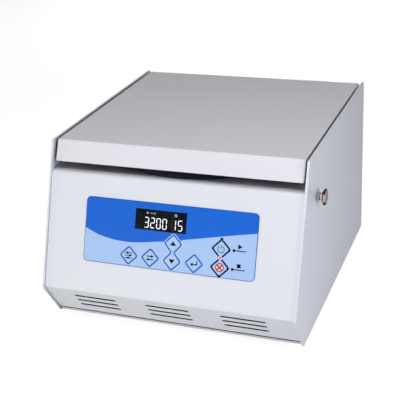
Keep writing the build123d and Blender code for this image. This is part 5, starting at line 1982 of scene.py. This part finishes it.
    def readout(self) -> None:
        """Set the display's lit and unlit segments."""
        layout = {"0": "abcdef", "1": "bc", "2": "abged", "3": "abgcd", "5": "afgcd"}
        width, height = self.segment_span
        places = {
            "a": (0.0, height / 2, 0.0), "d": (0.0, -height / 2, 0.0), "g": (0.0, 0.0, 0.0),
            "b": (width / 2, height / 4, 90.0), "c": (width / 2, -height / 4, 90.0),
            "e": (-width / 2, -height / 4, 90.0), "f": (-width / 2, height / 4, 90.0),
        }
        basis = Matrix((RIGHT, FRONT.up, FRONT.out)).transposed()
        spots: dict[bool, list[Spot]] = {True: [], False: []}
        for x, digit in self.digits:
            for segment, (dx, dy, angle) in places.items():
                on = segment in layout[digit]
                length = (height / 2 if angle else width) - self.segment_gap
                turn = (basis @ Matrix.Rotation(math.radians(angle), 3, "Z")).to_euler()
                place = FRONT.point(x + dx, self.digit_y + dy, FILM_TOP + INK_ROOT)
                size = (length * MM, self.segment_width * MM, 0.00006 if on else 0.00003)
                spots[on].append(Spot(place, tuple(turn), size))
        point = self.segment_width / (width - self.segment_gap)
        for on, finish in ((True, LIT), (False, UNLIT)):
            name = "display_lit_segments" if on else "display_unlit_segments"
            piece = spread(name, spots[on], self.segment(point), finish)
            finish_piece(piece, finish, Body.CASING)

    def icons(self) -> None:
        """Print the display's small icons: an arrow, a dash, a ring and a clock."""
        x, y = self.clock_x, self.icon_y
        icons = [
            [[(-38.0, y - 1.8), (-34.6, y), (-38.0, y + 1.8)]], [bar((-32.0, y), (-27.6, y), 0.7)],
            ring((-25.0, y), 1.3, 0.7, 20), ring((x, y), 2.2, 1.5, 28),
            [bar((x, y), (x, y + 1.2), 0.45)], [bar((x, y), (x + 1.0, y - 0.4), 0.45)],
        ]
        piece = print_shapes("display_icons", icons, FILM_TOP - INK_ROOT, FILM_TOP + INK_TOP)
        finish_piece(piece, ICON, Body.CASING)

    @staticmethod
    def segment(point: float) -> Piece:
        """Make one display segment of unit length, width and height, with pointed ends.

        Args:
            point: The length of each point, as a share of the whole.

        Returns:
            The segment.
        """
        half, shoulder = 0.5, 0.5 - point / 2
        outline = [
            (-half, 0.0), (-shoulder, -half), (shoulder, -half),
            (half, 0.0), (shoulder, half), (-shoulder, half),
        ]
        points = [Vector((x, y, z)) for z in (-half, half) for x, y in outline]
        under, over = range(6), range(6, 12)
        return mesh_piece("segment", points, [under[::-1], over, *strip_faces(under, over)])


# ---------------------------------------------------------------- mains entry


@dataclass
class MainsEntry(Assembly):
    """The mains inlet and the switch on the back."""

    inlet_x: float = 0.130
    entry_z: float = 0.060
    flange_y: float = 0.2384884
    screw: Screw = Screw(0.0027, 0.0012, 0.0004)
    screw_spacing: float = 0.040
    screw_seat: float = 0.0012
    rocker_x: float = 84.0
    rocker_peak: Point = (0.2375571, 0.0662916)
    rocker_valley: Point = (0.2374228, 0.0606237)
    rocker_foot: Point = (0.2398507, 0.0555005)
    mark_top: float = 0.06

    def build(self) -> None:
        """Dress the entry, set its screws and mark its rocker."""
        self.dress(PLASTIC, "mains_inlet", "switch_housing", "power_rocker")
        self.dress(NICKEL, "inlet_pins")
        half, y = self.screw_spacing / 2, self.flange_y - self.screw_seat
        self.screw.drive("inlet_screws", [
            Spot(Vector((self.inlet_x + side * half, y, self.entry_z)), facing(BACK, 40.0 * side))
            for side in (-1, 1)
        ], Body.CASING)
        x = self.rocker_x
        self.rocker_mark("on_mark", [bar((x, -1.35), (x, 1.35), 0.6)], self.rocker_valley, self.rocker_peak)
        self.rocker_mark("off_mark", ring((x, 0.0), 1.55, 1.0), self.rocker_foot, self.rocker_valley)

    def rocker_mark(self, name: str, shape: list[Loop], low: Point, high: Point) -> None:
        """Print one plain mark on the middle of one of the rocker's two faces.

        Args:
            name: The piece's name.
            shape: The mark's outline and holes, in millimetres.
            low: The face's lower edge, as y and z.
            high: The face's upper edge.
        """
        up = Vector((0.0, high[0] - low[0], high[1] - low[1])).normalized()
        middle = Vector((0.0, (low[0] + high[0]) / 2, (low[1] + high[1]) / 2))
        face = Face(middle, up, Vector((0.0, up.z, -up.y)))
        piece = print_shapes(name, [shape], -INK_ROOT, self.mark_top, face)
        finish_piece(piece, WHITE_INK, Body.ROCKER)


# ---------------------------------------------------------------- studio

WHITE = (1.0, 1.0, 1.0, 1.0)


@dataclass(frozen=True)
class Lamp:
    """One soft area lamp."""

    name: str
    place: Triple
    aim: Triple
    size: Point
    power: float
    colour: Triple = (1.0, 1.0, 1.0)

    def hang(self) -> None:
        """Hang the lamp, turned to its aim."""
        data = bpy.data.lights.new(self.name, "AREA")
        data.shape = "RECTANGLE"
        data.size, data.size_y = self.size
        data.energy = self.power
        data.color = self.colour
        holder = link_object(self.name, data)
        holder.location = self.place
        holder.rotation_euler = (Vector(self.aim) - Vector(self.place)).to_track_quat("-Z", "Y").to_euler()


@dataclass
class Studio:
    """The floor, the white surround, the lamps and the camera."""

    azimuth: float = 21.2232
    elevation: float = 24.5975
    roll: float = -3.188
    camera_place: Triple = (0.5204, -1.3656, 0.8056)
    lens: float = 80.95
    sensor: float = 36.0
    floor_half: float = 6.0
    floor_z: float = -0.0003
    floor_colour: Triple = (0.6, 0.6, 0.6)
    floor_glow: float = 0.86
    lamps: tuple[Lamp, ...] = (
        Lamp("key_lamp", (-1.0, -2.4, 0.3), (-0.1, 0.0, 0.14), (1.4, 0.5), 25.0, (1.0, 1.0, 1.01)),
        Lamp("top_lamp", (0.1, -0.5, 1.25), (0.05, -0.15, 0.25), (0.9, 0.6), 6.1),
        Lamp("side_lamp", (0.9, -0.48, 0.43), (0.2, -0.1, 0.14), (0.4, 0.3), 3.15, (0.87, 0.885, 1.02)),
        Lamp("rear_lamp", (-0.35, 2.7, 0.14), (0.0, 0.2, 0.14), (0.9, 0.24), 42.0),
        Lamp("left_lamp", (-2.6, -0.75, 0.16), (0.0, -0.1, 0.14), (1.4, 0.28), 22.0),
    )
    ambient: Point = (0.02, 0.03)
    ambient_colour: Triple = (0.88, 0.92, 1.0)
    card_y: float = -3.6
    card_half_width: float = 3.5
    card_span: Point = (0.3, 2.6)
    card_dark: Triple = (0.05, 0.04, 0.035)
    card_light: Triple = (0.09, 0.07, 0.06)

    def build(self) -> None:
        """Set the studio up."""
        self.floor()
        self.dark_card()
        self.surround()
        for lamp in self.lamps:
            lamp.hang()
        self.camera()
        bpy.context.scene.view_settings.view_transform = "Standard"

    @staticmethod
    def seen_rays(g: Graph) -> Socket:
        """Tell the rays that look at the surround from those that light.

        Args:
            g: The graph to add it to.

        Returns:
            A socket that is 1 for the rays that look.
        """
        ray = g.add("ShaderNodeLightPath").outputs
        first = g.math("MAXIMUM", ray["Is Camera Ray"], ray["Is Glossy Ray"])
        return g.math("MAXIMUM", first, ray["Is Transmission Ray"])

    def floor(self) -> None:
        """Lay the pale floor, which keeps a soft shadow."""
        half = self.floor_half
        corners = [Vector((x, y, self.floor_z)) for x, y in rectangle(-half, half, -half, half)]
        piece = mesh_piece("studio_floor", corners, [range(4)])
        material = bpy.data.materials.new("studio_floor")
        material.use_nodes = True
        material.node_tree.nodes.clear()
        g = Graph(material.node_tree)
        matte = g.add("ShaderNodeBsdfDiffuse", {"Color": rgba(self.floor_colour)})
        strength = g.product(self.seen_rays(g), self.floor_glow)
        glow = g.add("ShaderNodeEmission", {"Color": WHITE, "Strength": strength})
        both = g.add("ShaderNodeAddShader", {0: matte.outputs[0], 1: glow.outputs[0]})
        g.add("ShaderNodeOutputMaterial", {"Surface": both.outputs[0]})
        piece.data.materials.append(material)

    def dark_card(self) -> None:
        """Stand a dark card before the object, which only its gloss and glass reflect."""
        w = self.card_half_width
        corners = [Vector((x, self.card_y, z)) for x, z in rectangle(-w, w, *self.card_span)]
        piece = mesh_piece("studio_card", corners, [range(4)])
        s = Surface("studio_card")
        cloth = s.add("ShaderNodeTexNoise", {"Scale": 30.0, "Detail": 2.0}).outputs["Fac"]
        colour = s.mix(cloth, rgba(self.card_dark), rgba(self.card_light))
        s.look({"Base Color": colour, "Roughness": 0.9})
        piece.data.materials.append(s.material)
        piece.visible_camera = piece.visible_diffuse = piece.visible_shadow = False

    def surround(self) -> None:
        """Make the world white to look at, and softly lit otherwise."""
        world = bpy.data.worlds.new("studio")
        world.use_nodes = True
        bpy.context.scene.world = world
        world.node_tree.nodes.clear()
        g = Graph(world.node_tree)
        seen = self.seen_rays(g)
        rise = g.parts(g.add("ShaderNodeTexCoord").outputs["Generated"])["Z"]
        sky = g.span(rise, 0.1, 0.8, *self.ambient)
        strength = g.add("ShaderNodeMix", {0: seen, 2: sky, 3: 1.0}, data_type="FLOAT").outputs[0]
        values = {"Color": g.mix(seen, rgba(self.ambient_colour), WHITE), "Strength": strength}
        g.add("ShaderNodeOutputWorld", {"Surface": g.add("ShaderNodeBackground", values).outputs[0]})

    def camera(self) -> None:
        """Stand the camera where the object is seen from."""
        a, e, r = (math.radians(v) for v in (self.azimuth, self.elevation, self.roll))
        forward = Vector((-math.cos(e) * math.sin(a), math.cos(e) * math.cos(a), -math.sin(e)))
        right = Vector((math.cos(a), math.sin(a), 0.0))
        up = right.cross(forward)
        turned_right = right * math.cos(r) + up * math.sin(r)
        turned_up = up * math.cos(r) - right * math.sin(r)
        data = bpy.data.cameras.new("camera")
        data.lens = self.lens
        data.sensor_width = self.sensor
        holder = link_object("camera", data)
        basis = Matrix((turned_right, turned_up, -forward)).transposed().to_4x4()
        holder.matrix_world = Matrix.Translation(self.camera_place) @ basis
        bpy.context.scene.camera = holder


# ---------------------------------------------------------------- the whole


def main() -> None:
    """Load the frame, build each assembly in order, then the studio."""
    logging.basicConfig(level=logging.INFO, format="%(name)s: %(message)s")
    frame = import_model()
    for kind in (Casing, Chamber, Drivetrain, Rotor, Lid, Hinges, LidLock, Keypad, MainsEntry):
        LOG.info("building %s", kind.__name__)
        kind(frame["nodes"]).build()
    Studio().build()


if __name__ == "__main__":
    main()
